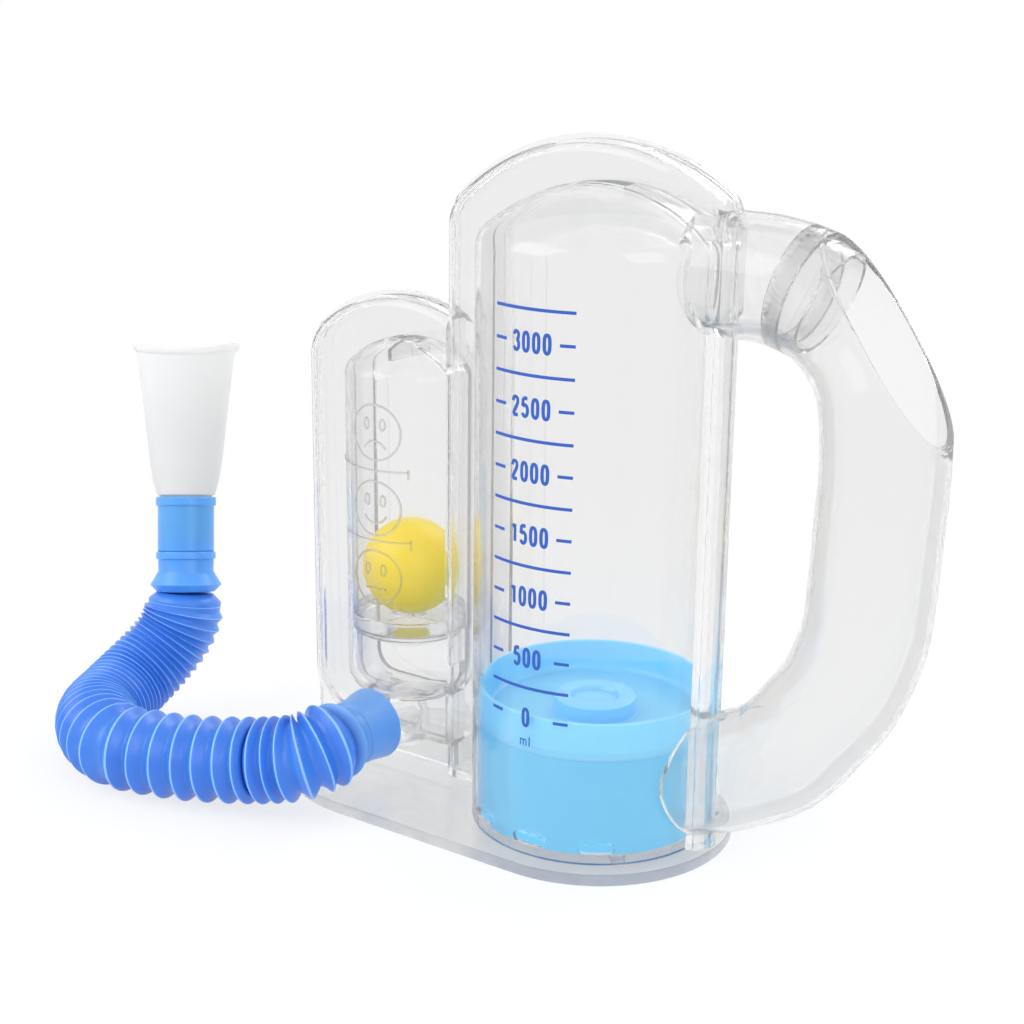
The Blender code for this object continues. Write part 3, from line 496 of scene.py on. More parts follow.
def buildHose():
    path = hosePath()
    length = pathLength(path)
    along = [0.0]
    for a, b in zip(path, path[1:]):
        along.append(along[-1] + (b - a).length)
    rings = [(0.0, hose["endRadius"], 0.0)]
    for s, pitch, blend in ridgePlaces(length):
        valley = hose["valleyRadius"] + (hose["closeValleyRadius"] - hose["valleyRadius"]) * blend
        last = length - s < hose["lastReach"]
        top = hose["lastRidgeRadius" if last else "ridgeRadius"]
        for offset, share in hose["ridgeShape"]:
            where = s + offset * pitch
            if hose["endGap"] < where < length - hose["endGap"]:
                rings.append((where, valley + (top - valley) * share, share))
    rings.append((length, hose["endRadius"], 0.0))
    bm = bmesh.new()
    # Share of the ridge height, which places the painted highlight on the crests
    crestHighlight = bm.verts.layers.float.new("crestHighlight")
    spot = 0
    side = Vector((0, 0, 1))
    loops = []
    for where, radius, share in rings:
        while spot < len(path) - 2 and along[spot + 1] < where:
            spot += 1
        t = (where - along[spot]) / max(along[spot + 1] - along[spot], 1e-9)
        middle = path[spot].lerp(path[spot + 1], min(t, 1))
        a = path[max(spot - 3, 0)]
        b = path[min(spot + 4, len(path) - 1)]
        way = (b - a).normalized()
        side = (side - way * side.dot(way)).normalized()
        frameAt = Matrix((side, way.cross(side), way)).transposed().to_4x4()
        made = bmesh.ops.create_circle(bm, cap_ends=False, segments=hose["sides"], radius=radius,
                                       matrix=Matrix.Translation(middle) @ frameAt)
        for vert in made["verts"]:
            vert[crestHighlight] = share
        loops.append(made["verts"])
    closedEnds(skinned(bm, loops), hose["sides"])
    piece = meshObject("corrugatedHose", bm, smooth=180)
    dress(piece, hoseBlue, "casing", ["hose"], even=False)
    return piece, path, length


hosePiece, hoseLine, hoseLength = buildHose()

# Cuffs: stepped collars that the hose is moulded to
print("cuffs")
cuffSize = {
    "sides": 72, "bore": 10.9, "barrel": 11.6, "lip": 12.4, "lipHigh": 3.8, "barrelHigh": 19.0,
    "ring": 12.3, "ringHigh": 3.4, "neckHigh": 5.9, "bell": 14.7, "bellHigh": 7.4, "bore2": 9.3,
    "groove": 0.5, "plug": 18.0, "plugGap": 0.3,
}


def buildUpperCuff():
    c = cuffSize
    bell = c["bellHigh"]
    neck = bell + c["neckHigh"]
    ring = neck + c["ringHigh"]
    barrel = ring + c["barrelHigh"]
    top = barrel + c["lipHigh"]
    stop = top - c["plug"] - c["plugGap"]
    profile = [
        (c["bore"], top), (c["lip"] - 0.5, top), (c["lip"], top - 0.5), (c["lip"], barrel + 0.5),
        (c["lip"] - 0.5, barrel), (c["barrel"], barrel), (c["barrel"], ring + c["groove"]),
        (c["barrel"] - c["groove"], ring), (c["ring"] - 0.4, ring), (c["ring"], ring - 0.5),
        (c["ring"], neck + 0.6), (c["ring"] - 0.9, neck), (c["barrel"] - 0.1, neck - 0.8),
        (c["barrel"] - 0.2, bell + 1.2), (c["barrel"] + 0.6, bell - 0.2),
        (c["bell"] - 0.4, bell * 0.48), (c["bell"], bell * 0.4), (c["bell"] - 0.5, bell * 0.32),
        (c["barrel"] + 0.3, 0), (c["bore2"], 0), (c["bore2"], stop), (c["bore"], stop),
    ]
    bm = aimAt(turnedShape(profile, c["sides"], ring=True), hose["cuffFoot"], mouthWay)
    piece = meshObject("upperHoseCuff", bm, smooth=40)
    return dress(piece, cuffBlue, "casing", ["upper_cuff"]), top


upperCuff, upperCuffHigh = buildUpperCuff()

flaredSize = {
    "at": 24.0, "mouth": 13.9, "waist": 12.4, "flare": 14.6, "band": 11.9, "bandHigh": 4.2,
    "bell": 14.7, "bellHigh": 4.6, "bore": 10.7, "bore2": 8.2, "plug": 13.3, "plugGap": 0.3,
}


def buildLowerCuff():
    c = flaredSize
    bell = c["bellHigh"]
    waist = bell + c["bandHigh"]
    top = waist + c["flare"]
    stop = top - c["plug"] - c["plugGap"]
    profile = [
        (c["bore"], top), (c["mouth"] - 0.35, top), (c["mouth"], top - 0.35),
        (c["mouth"] - 0.35, top - 3.0), (c["waist"] + 0.3, waist + 7.0), (c["waist"], waist + 0.7),
        (c["waist"] - 0.6, waist), (c["band"] - 0.5, waist - 0.2), (c["band"], waist - 0.7),
        (c["band"] - 0.1, bell + 0.6), (c["band"] + 0.8, bell - 0.2),
        (c["bell"] - 0.4, bell * 0.5), (c["bell"], bell * 0.4), (c["bell"] - 0.5, bell * 0.3),
        (c["band"], 0), (c["bore2"], 0), (c["bore2"], stop), (c["bore"], stop),
    ]
    bm = turnedShape(profile, cuffSize["sides"], ring=True)
    aimAt(bm, (hose["start"][0], -c["at"] - top, hose["start"][2]), (0, 1, 0))
    piece = meshObject("lowerHoseCuff", bm, smooth=40)
    return dress(piece, lowerCuffPaintedLightBlue, "casing", ["lower_cuff"])


lowerCuff = buildLowerCuff()

# Mouthpiece: a round plug that widens to a flat oval with a thick, dished lip
print("mouthpiece")
mouth = {
    "sides": 72, "plug": 10.6, "plugHigh": 17.7, "wall": 1.3, "high": 64.5, "lipHigh": 3.8,
    "halfWidth": 22.3, "halfDepth": 12.4, "dish": 3.0,
    # height, half width and half depth, as shares of the height, of the width and depth
    "sections": ((0.005, 0.535, 0.94), (0.1, 0.615, 0.93), (0.22, 0.675, 0.92),
                 (0.38, 0.725, 0.91), (0.54, 0.775, 0.9), (0.74, 0.845, 0.9),
                 (0.93, 0.915, 0.9)),
}


def buildMouthpiece():
    m = mouth
    outside = [(m["plug"], m["plug"], -m["plugHigh"]), (m["plug"], m["plug"], 0.2)]
    for high, wide, deep in m["sections"]:
        outside.append((wide * m["halfWidth"], deep * m["halfDepth"], 0.6 + high * m["high"]))
    lipFoot = m["high"] - m["lipHigh"]
    w, d = m["halfWidth"], m["halfDepth"]
    outside += [(w - 1.0, d - 0.6, lipFoot + 0.3), (w - 0.2, d - 0.1, lipFoot + 1.0),
                (w, d, m["high"] - 1.2), (w - 0.1, d - 0.1, m["high"] - 0.4),
                (w - 0.6, d - 0.6, m["high"])]
    wall = m["wall"]
    inside = [(w - wall, d - wall, m["high"] - 0.3)]
    inside += [(a - wall, b - wall, h) for a, b, h in reversed(outside[:-4])]
    bm = bmesh.new()
    loops = []
    for wide, deep, high in outside + inside:
        scale = Matrix.Diagonal((wide, deep, 1, 1))
        made = bmesh.ops.create_circle(bm, cap_ends=False, segments=m["sides"], radius=1,
                                       matrix=Matrix.Translation((0, 0, high)) @ scale)
        share = max(high / m["high"], 0) ** 6
        for vert in made["verts"]:
            across = vert.co.x / m["halfWidth"]
            vert.co.z -= m["dish"] * share * (1 - across ** 2)
        loops.append(made["verts"])
    skinned(bm, loops, around=True)
    turn = Matrix((mouthAcross, mouthWay.cross(mouthAcross), mouthWay)).transposed().to_4x4()
    place = Vector(hose["cuffFoot"]) + mouthWay * upperCuffHigh
    bm.transform(Matrix.Translation(place) @ turn)
    piece = meshObject("ovalMouthpiece", bm, smooth=50)
    return dress(piece, frostedWhite, "mouthpiece", ["mouthpiece"])


mouthpiece = buildMouthpiece()

# Casing: two halves welded in the middle plane, with the two tubes and the air channels
print("casing")
casing = {
    "gap": 0.3, "foot": 4.8, "over": 4.0, "wall": 1.8,
    "chamber": {"x": 0, "radius": 45, "domeRadius": 65, "domeTop": 237.6, "shoulder": 9,
                "foot": 4, "footRound": 0, "sides": 144},
    "flow": {"x": -85.6, "radius": 24.6, "domeRadius": 32.7, "domeTop": 173.9, "shoulder": 6,
             "foot": 33.5, "footRound": 11, "sides": 96},
    "rimDeep": 7.7, "rimRound": 4.5, "flangeReach": 1.8, "flangeDeep": 1.4, "webDeep": 1.2,
    "tall": {"left": -64, "right": 49.5, "arch": (-2, 167.5, 84), "leftRound": 14,
             "rightRound": 7},
    "low": {"left": -130.5, "right": -58, "arch": (-86.2, 129.1, 60.1), "leftRound": 18,
            "foot": 15, "footRound": 20},
    "stopFin": (1.6, 12, 166, 176),      # thickness, half depth, foot and top
    "seatFoot": 62.1, "ledge": 1.5,      # the ledge that carries seat and funnel
    "slotHalfDeep": 4, "tallSlotHalf": 9, "lowSlotHalf": 6, "sideSlot": (37, 49),
    "below": -12, "far": 200,            # cutters reach this low and this far
    "vents": (-63, -30.5, 2, 34.5, 117, 149.5, 182, 214.5), "ventUp": 10.8,
    "ventHigh": 4, "ventWide": 13,
}


# Half section of a domed tube, moved in by the inset
def domedShape(tube, inset, foot=None):
    domeUp = tube["domeTop"] - tube["domeRadius"]
    r = tube["radius"]
    filletAt = r - tube["shoulder"]
    filletUp = domeUp + math.sqrt((tube["domeRadius"] - tube["shoulder"]) ** 2 - filletAt ** 2)
    lean = math.degrees(math.atan2(filletUp - domeUp, filletAt))
    profile = arcPoints(0, domeUp, tube["domeRadius"] - inset, 90, lean, 16)
    profile[0] = (0, profile[0][1])
    profile += arcPoints(filletAt, filletUp, tube["shoulder"] - inset, lean, 0, 8)[1:]
    low = tube["foot"] if foot is None else foot
    if tube["footRound"]:
        around = tube["footRound"]
        profile += arcPoints(r - around, low + around, around - inset, 0, -90, 10)
    else:
        profile.append((r - inset, low))
    profile.append((0, profile[-1][1]))
    bm = turnedShape(profile, tube["sides"])
    bm.transform(Matrix.Translation((tube["x"], 0, 0)))
    return bm


def roundOnArch(x, side, corner, arch):
    run = x - side * corner - arch[0]
    rise = math.sqrt((arch[2] - corner) ** 2 - run ** 2)
    return x - side * corner, arch[1] + rise, math.degrees(math.atan2(rise, run))


def tallOutline(grow):
    t = casing["tall"]
    rightX, rightUp, rightTurn = roundOnArch(t["right"], 1, t["rightRound"], t["arch"])
    leftX, leftUp, leftTurn = roundOnArch(t["left"], -1, t["leftRound"], t["arch"])
    low = casing["foot"] - grow if grow < 0 else -casing["over"] - grow
    points = [(t["right"] + grow, low)]
    points += arcPoints(rightX, rightUp, t["rightRound"] + grow, 0, rightTurn, 8)
    x, up, radius = t["arch"]
    points += arcPoints(x, up, radius + grow, rightTurn, leftTurn, 40)[1:]
    points += arcPoints(leftX, leftUp, t["leftRound"] + grow, leftTurn, 180, 10)[1:]
    return points + [(t["left"] - grow, low)]


def lowOutline(grow, square=False):
    t = casing["low"]
    x, up, radius = t["arch"]
    start = math.degrees(math.acos((t["right"] - x) / (radius + grow)))
    leftX, leftUp, turn = roundOnArch(t["left"], -1, t["leftRound"], t["arch"])
    points = arcPoints(x, up, radius + grow, start, turn, 24)
    points += arcPoints(leftX, leftUp, t["leftRound"] + grow, turn, 180, 12)[1:]
    if square:
        return points + [(t["left"] - grow, -6), (t["right"], -6)]
    around = t["footRound"]
    points += arcPoints(t["left"] + around, t["foot"] + around, around + grow, 180, 270, 16)
    return points + [(t["right"], t["foot"] - grow)]


port = {"up": 26.2, "bore": 8, "spigot": 10.4, "neck": 12.2, "foot": 15, "footHigh": 4.5,
        "neckHigh": 5, "end": 37, "cuffAt": 23.7, "sides": 64}
handleSize = {
    "radius": 21, "wall": 2, "reach": 106.9, "topUp": 210.8, "footUp": 30, "sides": 64,
    "steps": 72, "jointAt": 0.673, "spigotGap": 0.4, "spigotWall": 1.8,
    "mouthAt": (82.8, 226.72), "mouthSlope": 55.5, "bead": 1.1,
    "route": ((0.36, 1.0), (0.514, 1.0), (0.602, 0.998), (0.715, 0.984), (0.83, 0.952),
              (0.92, 0.897), (0.972, 0.835), (0.994, 0.758), (1.0, 0.667), (0.994, 0.58),
              (0.989, 0.506), (0.983, 0.427), (0.973, 0.372), (0.944, 0.31), (0.897, 0.243),
              (0.821, 0.178), (0.743, 0.117), (0.689, 0.086), (0.582, 0.049), (0.516, 0.028),
              (0.38, 0.0)),
}


def portShape():
    p = port
    foot = casing["rimDeep"]
    slope = [(p["neck"] + (p["foot"] - p["neck"]) * (1 - s) ** 2, foot + p["footHigh"] * s)
             for s in (1.0, 0.75, 0.5, 0.25, 0.0)]
    profile = [(0, p["end"]), (p["spigot"] - 0.6, p["end"]), (p["spigot"] - 0.15, p["end"] - 0.5),
               (p["spigot"], p["cuffAt"]), (p["neck"] - 0.4, p["cuffAt"] - 0.3),
               (p["neck"], p["cuffAt"] - 0.8), *slope, (p["foot"], foot - 0.9), (0, foot - 0.9)]
    return aimAt(turnedShape(profile, p["sides"]), (casing["flow"]["x"], 0, p["up"]), (0, -1, 0))


def ventShape(angle):
    c = casing
    half, high = c["ventWide"] / 2, c["ventHigh"] / 2
    ends = arcPoints(half - high, c["ventUp"], high, -90, 90, 8)
    ends += arcPoints(high - half, c["ventUp"], high, 90, 270, 8)
    bm = slabShape(ends, c["over"])
    bm.transform(Matrix.Rotation(math.radians(angle), 4, "Z")
                 @ Matrix.Translation((0, -c["chamber"]["radius"], 0)))
    return bm


# What is hollow in the casing: both tubes, the air channels over them, the slots between
# them, the vents and the port's bore
def casingCavities():
    c = casing
    flow, chamber, wall, over, far = c["flow"], c["chamber"], c["wall"], c["over"], c["far"]
    bore = flow["radius"] - wall
    around = flow["footRound"]
    ledge = turnedShape([
        (0, c["seatFoot"]), (bore - c["ledge"], c["seatFoot"]),
        *arcPoints(flow["radius"] - around, flow["foot"] + around, around - wall - c["ledge"],
                   0, -90, 10),
        (0, flow["foot"] + wall + c["ledge"])], flow["sides"])
    ledge.transform(Matrix.Translation((flow["x"], 0, 0)))
    reach = 2 * flow["radius"]
    flowSpace = combine(domedShape(flow, wall), [
        box((flow["x"] - reach, -reach, c["seatFoot"] - c["gap"]),
            (flow["x"] + reach, reach, far))], "INTERSECT")
    spaces = [combine(space, [slabShape(tallOutline(0), c["rimDeep"])], "DIFFERENCE")
              for space in (flowSpace, ledge)]
    stubTop = handleSize["topUp"] + handleSize["radius"] / 2
    tallAir = combine(slabShape(tallOutline(-wall), c["rimDeep"] - wall, c["rimRound"] - wall), [
        domedShape(chamber, 0, c["below"]),
        box((chamber["radius"] / 2, -far, -over), (far, far, stubTop))], "DIFFERENCE")
    lowAir = combine(slabShape(lowOutline(-wall), c["rimDeep"] - wall, c["rimRound"] - wall), [
        domedShape(flow, 0), slabShape(tallOutline(0), c["rimDeep"])], "DIFFERENCE")
    deep = c["slotHalfDeep"]
    slots = [box((tube["x"] - half, -deep, tube["domeTop"] - 3 * wall),
                 (tube["x"] + half, deep, tube["domeTop"] + 2 * wall))
             for tube, half in ((chamber, c["tallSlotHalf"]), (flow, c["lowSlotHalf"]))]
    low, high = c["sideSlot"]
    slots.append(box((c["tall"]["left"] - 2 * wall, -deep, low),
                     (c["tall"]["left"] + 2 * wall, deep, high)))
    bore = turnedShape([(0, port["end"] + over), (port["bore"], port["end"] + over),
                        (port["bore"], 0), (0, 0)], port["sides"])
    aimAt(bore, (flow["x"], 0, port["up"]), (0, -1, 0))
    vents = [ventShape(angle) for angle in c["vents"]]
    return [domedShape(chamber, wall, c["below"]), *slots, bore, *vents, *spaces, tallAir, lowAir]


# The room that other pieces keep clear of the casing
def casingRoom():
    c = casing
    gap = c["gap"]
    return [domedShape(c["chamber"], -gap, -c["over"]),
            slabShape(tallOutline(gap), c["rimDeep"] + gap),
            slabShape(tallOutline(c["flangeReach"] + gap), c["flangeDeep"] + gap)]


def handleRoute():
    h = handleSize
    places = [(x * h["reach"], 0, h["footUp"] + z * (h["topUp"] - h["footUp"]))
              for x, z in h["route"]]
    route = smoothPath(places, h["steps"])
    start = h["jointAt"] * h["reach"]
    near = next(i for i, p in enumerate(route) if p.x > start)
    share = (start - route[near - 1].x) / (route[near].x - route[near - 1].x)
    return route, near, route[near - 1].lerp(route[near], share), \
        (route[near] - route[near - 1]).normalized()


# A block that takes all that lies past a place
def beyond(place, way, reach=400):
    return aimAt(box((-reach, -reach, 0), (reach, reach, reach)), place, way)


def wholeCasing():
    c = casing
    outside = combine(slabShape(tallOutline(0), c["rimDeep"], c["rimRound"]), [
        slabShape(lowOutline(0), c["rimDeep"], c["rimRound"]),
        domedShape(c["chamber"], 0, -2 * c["over"]), domedShape(c["flow"], 0),
        slabShape(tallOutline(c["flangeReach"]), c["flangeDeep"]),
        slabShape(lowOutline(c["flangeReach"], True), c["webDeep"])], "UNION")
    h = handleSize
    route, near, meet, way = handleRoute()
    stub = combine(tubeShape(route[:near + 2], h["radius"], h["sides"]), [beyond(meet, way)],
                   "DIFFERENCE")
    spigotRadius = h["radius"] - h["wall"] - h["spigotGap"]
    spigot = tubeShape(route[near - 8:near + 4], spigotRadius, h["sides"] - 4)
    hollow = combine(tubeShape(route[:near + 6], spigotRadius - h["spigotWall"], h["sides"]),
                     casingRoom(), "DIFFERENCE")
    combine(outside, [combine(stub, [spigot], "UNION"), portShape()], "UNION")
    combine(outside, [hollow, *casingCavities()], "DIFFERENCE")
    at, thick, half, foot, top = (c["flow"]["x"], *c["stopFin"])
    fin = combine(box((at - thick / 2, -half, foot), (at + thick / 2, half, top)),
                  [domedShape(c["flow"], c["wall"] / 2)], "INTERSECT")
    return combine(outside, [fin], "UNION")


def buildCasing():
    whole = wholeCasing()
    for side, name, node in ((-1, "frontShell", "front_shell"), (1, "backShell", "back_shell")):
        far = 2 * casing["far"]
        low, high = sorted((side * casing["gap"] / 2, side * far))
        half = bpy.data.objects.new(name, whole.data.copy())
        scene.collection.objects.link(half)
        combine(half, [box((-far, low, casing["foot"]), (far, high, far))], "INTERSECT")
        piece = clearPiece(half, name, node)
        piece.data.materials.append(weldedFace)
        for face in piece.data.polygons:
            if abs(face.normal.y) > 0.99 and abs(face.center.y) < casing["gap"] * mm:
                face.material_index = 1
    bpy.data.objects.remove(whole, do_unlink=True)


buildCasing()


# The bead on the cut edge of the mouth, on the middle of the wall
def mouthBead(route, place, out):
    h = handleSize
    bm = tubeShape(route, h["radius"] - h["wall"] / 2, h["sides"])
    cut = bmesh.ops.bisect_plane(bm, geom=[*bm.verts, *bm.edges, *bm.faces], plane_co=place,
                                 plane_no=out)
    spots = [v.co.copy() for v in cut["geom_cut"] if isinstance(v, bmesh.types.BMVert)]
    bm.free()
    spots = [p for p in spots if p.x > place.x]
    middle = sum(spots, Vector()) / len(spots)
    down = Vector((0, 1, 0)).cross(out)
    spots.sort(key=lambda p: math.atan2(p.y, (p - middle).dot(down) / 2))
    return rodShape(spots, h["bead"], 5, True)


def buildHandle():
    h = handleSize
    route, near, meet, way = handleRoute()
    slope = math.radians(h["mouthSlope"])
    out = Vector((math.sin(slope), 0, math.cos(slope)))
    place = Vector((h["mouthAt"][0], 0, h["mouthAt"][1]))
    handle = combine(
        tubeShape(route[near - 2:], h["radius"], h["sides"], h["wall"]),
        [beyond(place, out), beyond(meet + way * casing["gap"], -way, 2 * h["radius"])],
        "DIFFERENCE")
    combine(handle, [mouthBead(route[near - 2:], place, out)], "UNION")
    combine(handle, casingRoom(), "DIFFERENCE")
    clearPiece(handle, "gripHandle", "handle")


buildHandle()

tray = {"high": 4.5, "radius": 52, "leftX": -82, "edge": 0.8, "stopWide": 5, "stopTop": 7.2}


def buildTray():
    t = tray
    outline = arcPoints(0, 0, t["radius"], -90, 90, 64) + arcPoints(t["leftX"], 0, t["radius"],
                                                                    90, 270, 64)
    whole = slabShape(outline, t["high"] / 2, t["edge"])
    whole.transform(Matrix.Translation((0, 0, t["high"] / 2))
                    @ Matrix.Rotation(math.pi / 2, 4, "X"))
    bore = casing["chamber"]["radius"] - casing["wall"]
    for angle in (45, 135, 225, 315):
        stop = box((bore - t["stopWide"] - 0.3, -t["stopWide"] / 2, t["high"] / 2),
                   (bore - 0.6, t["stopWide"] / 2, t["stopTop"]))
        stop.transform(Matrix.Rotation(math.radians(angle), 4, "Z"))
        whole = combine(whole, [stop], "UNION")
    # The tray's darker tint is painted shade
    clearPiece(whole, "baseTray", "base_tray", clearTrayPaintedShade)


buildTray()

# The ring that the ball rests on, and the funnel under it
seat = {"top": 67.6, "foot": 62.4, "hole": 8, "chamfer": 1.5, "funnelTop": 61.8,
        "funnelHigh": 6.5, "funnelWall": 1.6, "funnelHole": 11, "funnelLip": 2}


def buildInserts():
    p = seat
    flow = casing["flow"]
    r = flow["radius"] - casing["wall"] - casing["gap"]
    ring = [(p["hole"] + p["chamfer"], p["top"]), (r - 0.4, p["top"]), (r, p["top"] - 0.4),
            (r, p["foot"]), (p["hole"], p["foot"]), (p["hole"], p["top"] - p["chamfer"])]
    low = p["funnelTop"] - p["funnelHigh"]
    wide = r - 1.5
    wall = p["funnelWall"]
    funnel = [(wide - wall, p["funnelTop"]), (wide, p["funnelTop"]),
              (wide, p["funnelTop"] - p["funnelLip"]), (p["funnelHole"] + wall, low),
              (p["funnelHole"], low), (wide - wall, p["funnelTop"] - p["funnelLip"])]
    for profile, name, node in ((ring, "ballSeat", "ball_seat"),
                                (funnel, "flowFunnel", "flow_funnel")):
        bm = turnedShape(profile, flow["sides"], ring=True)
        bm.transform(Matrix.Translation((flow["x"], 0, 0)))
        room = slabShape(tallOutline(casing["gap"]), casing["rimDeep"] + casing["gap"])
        clearPiece(combine(bm, [room], "DIFFERENCE"), name, node)


buildInserts()

# Piston: a cup with a soft rim, a ring on its floor and a shallow recess
print("piston and ball")
pistonSize = {
    "sides": 128, "radius": 42.7, "bottom": 7.5, "top": 57.0, "floor": 45.2, "wall": 1.8,
    "bossRadius": 15.0, "bossHigh": 6.3, "recessRadius": 8.5, "recessDeep": 2.0,
}


def buildPiston():
    p = pistonSize
    r, wall, floor, top = p["radius"], p["wall"], p["floor"], p["top"]
    boss = floor + p["bossHigh"]
    recess = boss - p["recessDeep"]
    under = floor - wall
    profile = [
        (0, recess), (p["recessRadius"] - 0.6, recess), (p["recessRadius"], recess + 0.5),
        (p["recessRadius"] + 0.5, boss - 0.4), (p["recessRadius"] + 1.0, boss),
        (p["bossRadius"] - 1.1, boss), (p["bossRadius"] - 0.3, boss - 0.4),
        (p["bossRadius"], boss - 1.1), (p["bossRadius"] + 0.2, floor + 0.6),
        (p["bossRadius"] + 0.9, floor), (r - 4.4, floor), (r - 2.8, floor + 0.6),
        (r - 2.0, floor + 2.0), (r - wall, floor + 4.0), (r - wall, top - 0.6),
        (r - 1.3, top), (r - 0.5, top), (r, top - 0.7), (r, floor + 1.0), (r - 0.5, floor + 0.4),
        (r - 0.5, under - 0.4), (r, under - 1.0), (r, p["bottom"] + 0.4), (r - 0.4, p["bottom"]),
        (r - wall + 0.3, p["bottom"]), (r - wall, p["bottom"] + 0.4), (r - wall, under - 0.8),
        (r - wall - 0.8, under), (0, under),
    ]
    piece = meshObject("pistonCup", turnedShape(profile, p["sides"]), smooth=40)
    dress(piece, pistonBlue, "piston", ["piston"])


buildPiston()

ballSize = {"radius": 18.7, "place": (-85.6, 0, 84.007), "seam": 0.12}


def buildBall():
    b = ballSize
    bm = bmesh.new()
    bmesh.ops.create_icosphere(bm, subdivisions=5, radius=b["radius"])
    for vert in bm.verts:                      # a faint moulding seam round its middle
        if abs(vert.co.z) < 0.3:
            vert.co *= 1 - b["seam"] / b["radius"]
    bm.transform(Matrix.Translation(b["place"]))
    piece = meshObject("flowBall", bm, smooth=180)
    dress(piece, ballYellow, "ball", ["flow_ball"], even=False)


buildBall()

# Printed scale: blue lines and numbers round the front of the cylinder
print("scale")
def circleLike(wide, high, steps=28):
    turns = [2 * math.pi * i / steps for i in range(steps)]
    return [(math.copysign(abs(math.cos(t)) ** 0.8, math.cos(t)) * wide,
             math.copysign(abs(math.sin(t)) ** 0.7, math.sin(t)) * high) for t in turns]


scaleSize = {
    "radius": 45.0, "inkDeep": 0.12, "zero": 57.0, "step": 11.0, "steps": 13, "halfTurn": 20.4,
    "dashTurn": 13.6, "lineHigh": 1.1, "digitPitch": 4.07, "digitStroke": 1.3,
    "stepVolume": 250, "unit": (("m", -0.8), ("l", 1.7)), "unitAt": -9.4, "unitStroke": 0.5,
    "strip": 1.0,
}
# Strokes of the condensed digits and of the unit, each through its places, in millimetres
# about the middle of the row; the last value says whether the stroke closes on itself
strokes = {
    "0": [(circleLike(1.02, 3.05), True)],
    "1": [([(0.45, -3.05), (0.45, 3.05)], False), ([(0.35, 2.75), (-0.75, 2.05)], False)],
    "2": [([(-1.02, 1.55), (-0.9, 2.45), (-0.35, 3.0), (0.35, 3.0), (0.9, 2.45), (1.0, 1.6),
            (0.75, 0.6), (0.1, -0.7), (-0.55, -1.9), (-1.0, -3.05)], False),
          ([(-1.0, -3.05), (1.05, -3.05)], False)],
    "3": [([(-1.0, 1.9), (-0.8, 2.65), (-0.25, 3.05), (0.4, 2.95), (0.9, 2.4), (0.95, 1.5),
            (0.7, 0.65), (0.05, 0.25)], False),
          ([(0.05, 0.25), (0.75, -0.1), (1.05, -1.0), (1.0, -2.05), (0.55, -2.85), (0, -3.05),
            (-0.6, -2.85), (-1.0, -2.0)], False)],
    "5": [([(0.95, 3.05), (-0.75, 3.05)], False), ([(-0.75, 3.05), (-0.95, 0.2)], False),
          ([(-0.95, 0.2), (-0.4, 0.7), (0.3, 0.7), (0.85, 0.1), (1.02, -0.9), (0.95, -2.0),
            (0.5, -2.8), (0, -3.05), (-0.6, -2.85), (-1.02, -2.0)], False)],
    "m": [([(-1.2, -1.2), (-1.2, 1.2)], False), ([(0.0, -1.2), (0.0, 0.7)], False),
          ([(1.2, -1.2), (1.2, 0.7)], False),
          ([(-1.2, 0.6), (-0.9, 1.1), (-0.4, 1.15), (0.0, 0.7)], False),
          ([(0.0, 0.6), (0.3, 1.1), (0.8, 1.15), (1.2, 0.7)], False)],
    "l": [([(0, -1.2), (0, 2.3)], False)],
}


# The strokes of a sign, pressed flat
def strokeShape(sign, width, shift):
    shapes = []
    for places, closed in strokes[sign]:
        if len(places) > 2 and not closed:
            places = [p.to_2d() for p in smoothPath([(x, y, 0) for x, y in places], 20)]
        bm = rodShape([(x + shift, y, 0) for x, y in places], width / 2, 1, closed)
        bm.transform(Matrix.Diagonal((1, 1, scaleSize["inkDeep"] / width, 1)))
        shapes.append(bm)
    return gathered(shapes)


def flatBar(start, end, high):
    bm = bmesh.new()
    bmesh.ops.create_cube(bm, size=1)
    bm.transform(Matrix.Translation(((start + end) / 2, 0, 0))
                 @ Matrix.Diagonal((end - start, high, scaleSize["inkDeep"], 1)))
    return bm


# Takes a flat shape round a cylinder: X runs along the girth, Y up and Z outward
def wrapped(bm, radius, up):
    low = min(v.co.x for v in bm.verts)
    top = max(v.co.x for v in bm.verts)
    cut = low + scaleSize["strip"]
    while cut < top:
        geometry = [*bm.verts, *bm.edges, *bm.faces]
        bmesh.ops.bisect_plane(bm, geom=geometry, dist=1e-5, plane_co=(cut, 0, 0),
                               plane_no=(1, 0, 0))
        cut += scaleSize["strip"]
    for vert in bm.verts:
        angle = vert.co.x / radius
        out = radius + vert.co.z
        vert.co = (out * math.sin(angle), -out * math.cos(angle), vert.co.y + up)
    return bm


def buildScale():
    s = scaleSize
    rows = []
    half = math.radians(s["halfTurn"]) * s["radius"]
    dash = math.radians(s["dashTurn"]) * s["radius"]
    for k in range(s["steps"] + 1):
        up = s["zero"] + k * s["step"]
        if k % 2:
            shapes = [(flatBar(-half, half, s["lineHigh"]), up)]
        else:
            number = str(k * s["stepVolume"])
            shapes = [(flatBar(-half, -dash, s["lineHigh"]), up),
                      (flatBar(dash, half, s["lineHigh"]), up)]
            for i, sign in enumerate(number):
                shift = (i - (len(number) - 1) / 2) * s["digitPitch"]
                shapes.append((strokeShape(sign, s["digitStroke"], shift), up))
            if k == 0:
                for sign, shift in s["unit"]:
                    shapes.append((strokeShape(sign, s["unitStroke"], shift), up + s["unitAt"]))
        rows += [wrapped(bm, s["radius"] + s["inkDeep"] / 2, height) for bm, height in shapes]
    piece = meshObject("printedScale", gathered(rows), smooth=30)
    dress(piece, printInk, "casing", even=False)


buildScale()

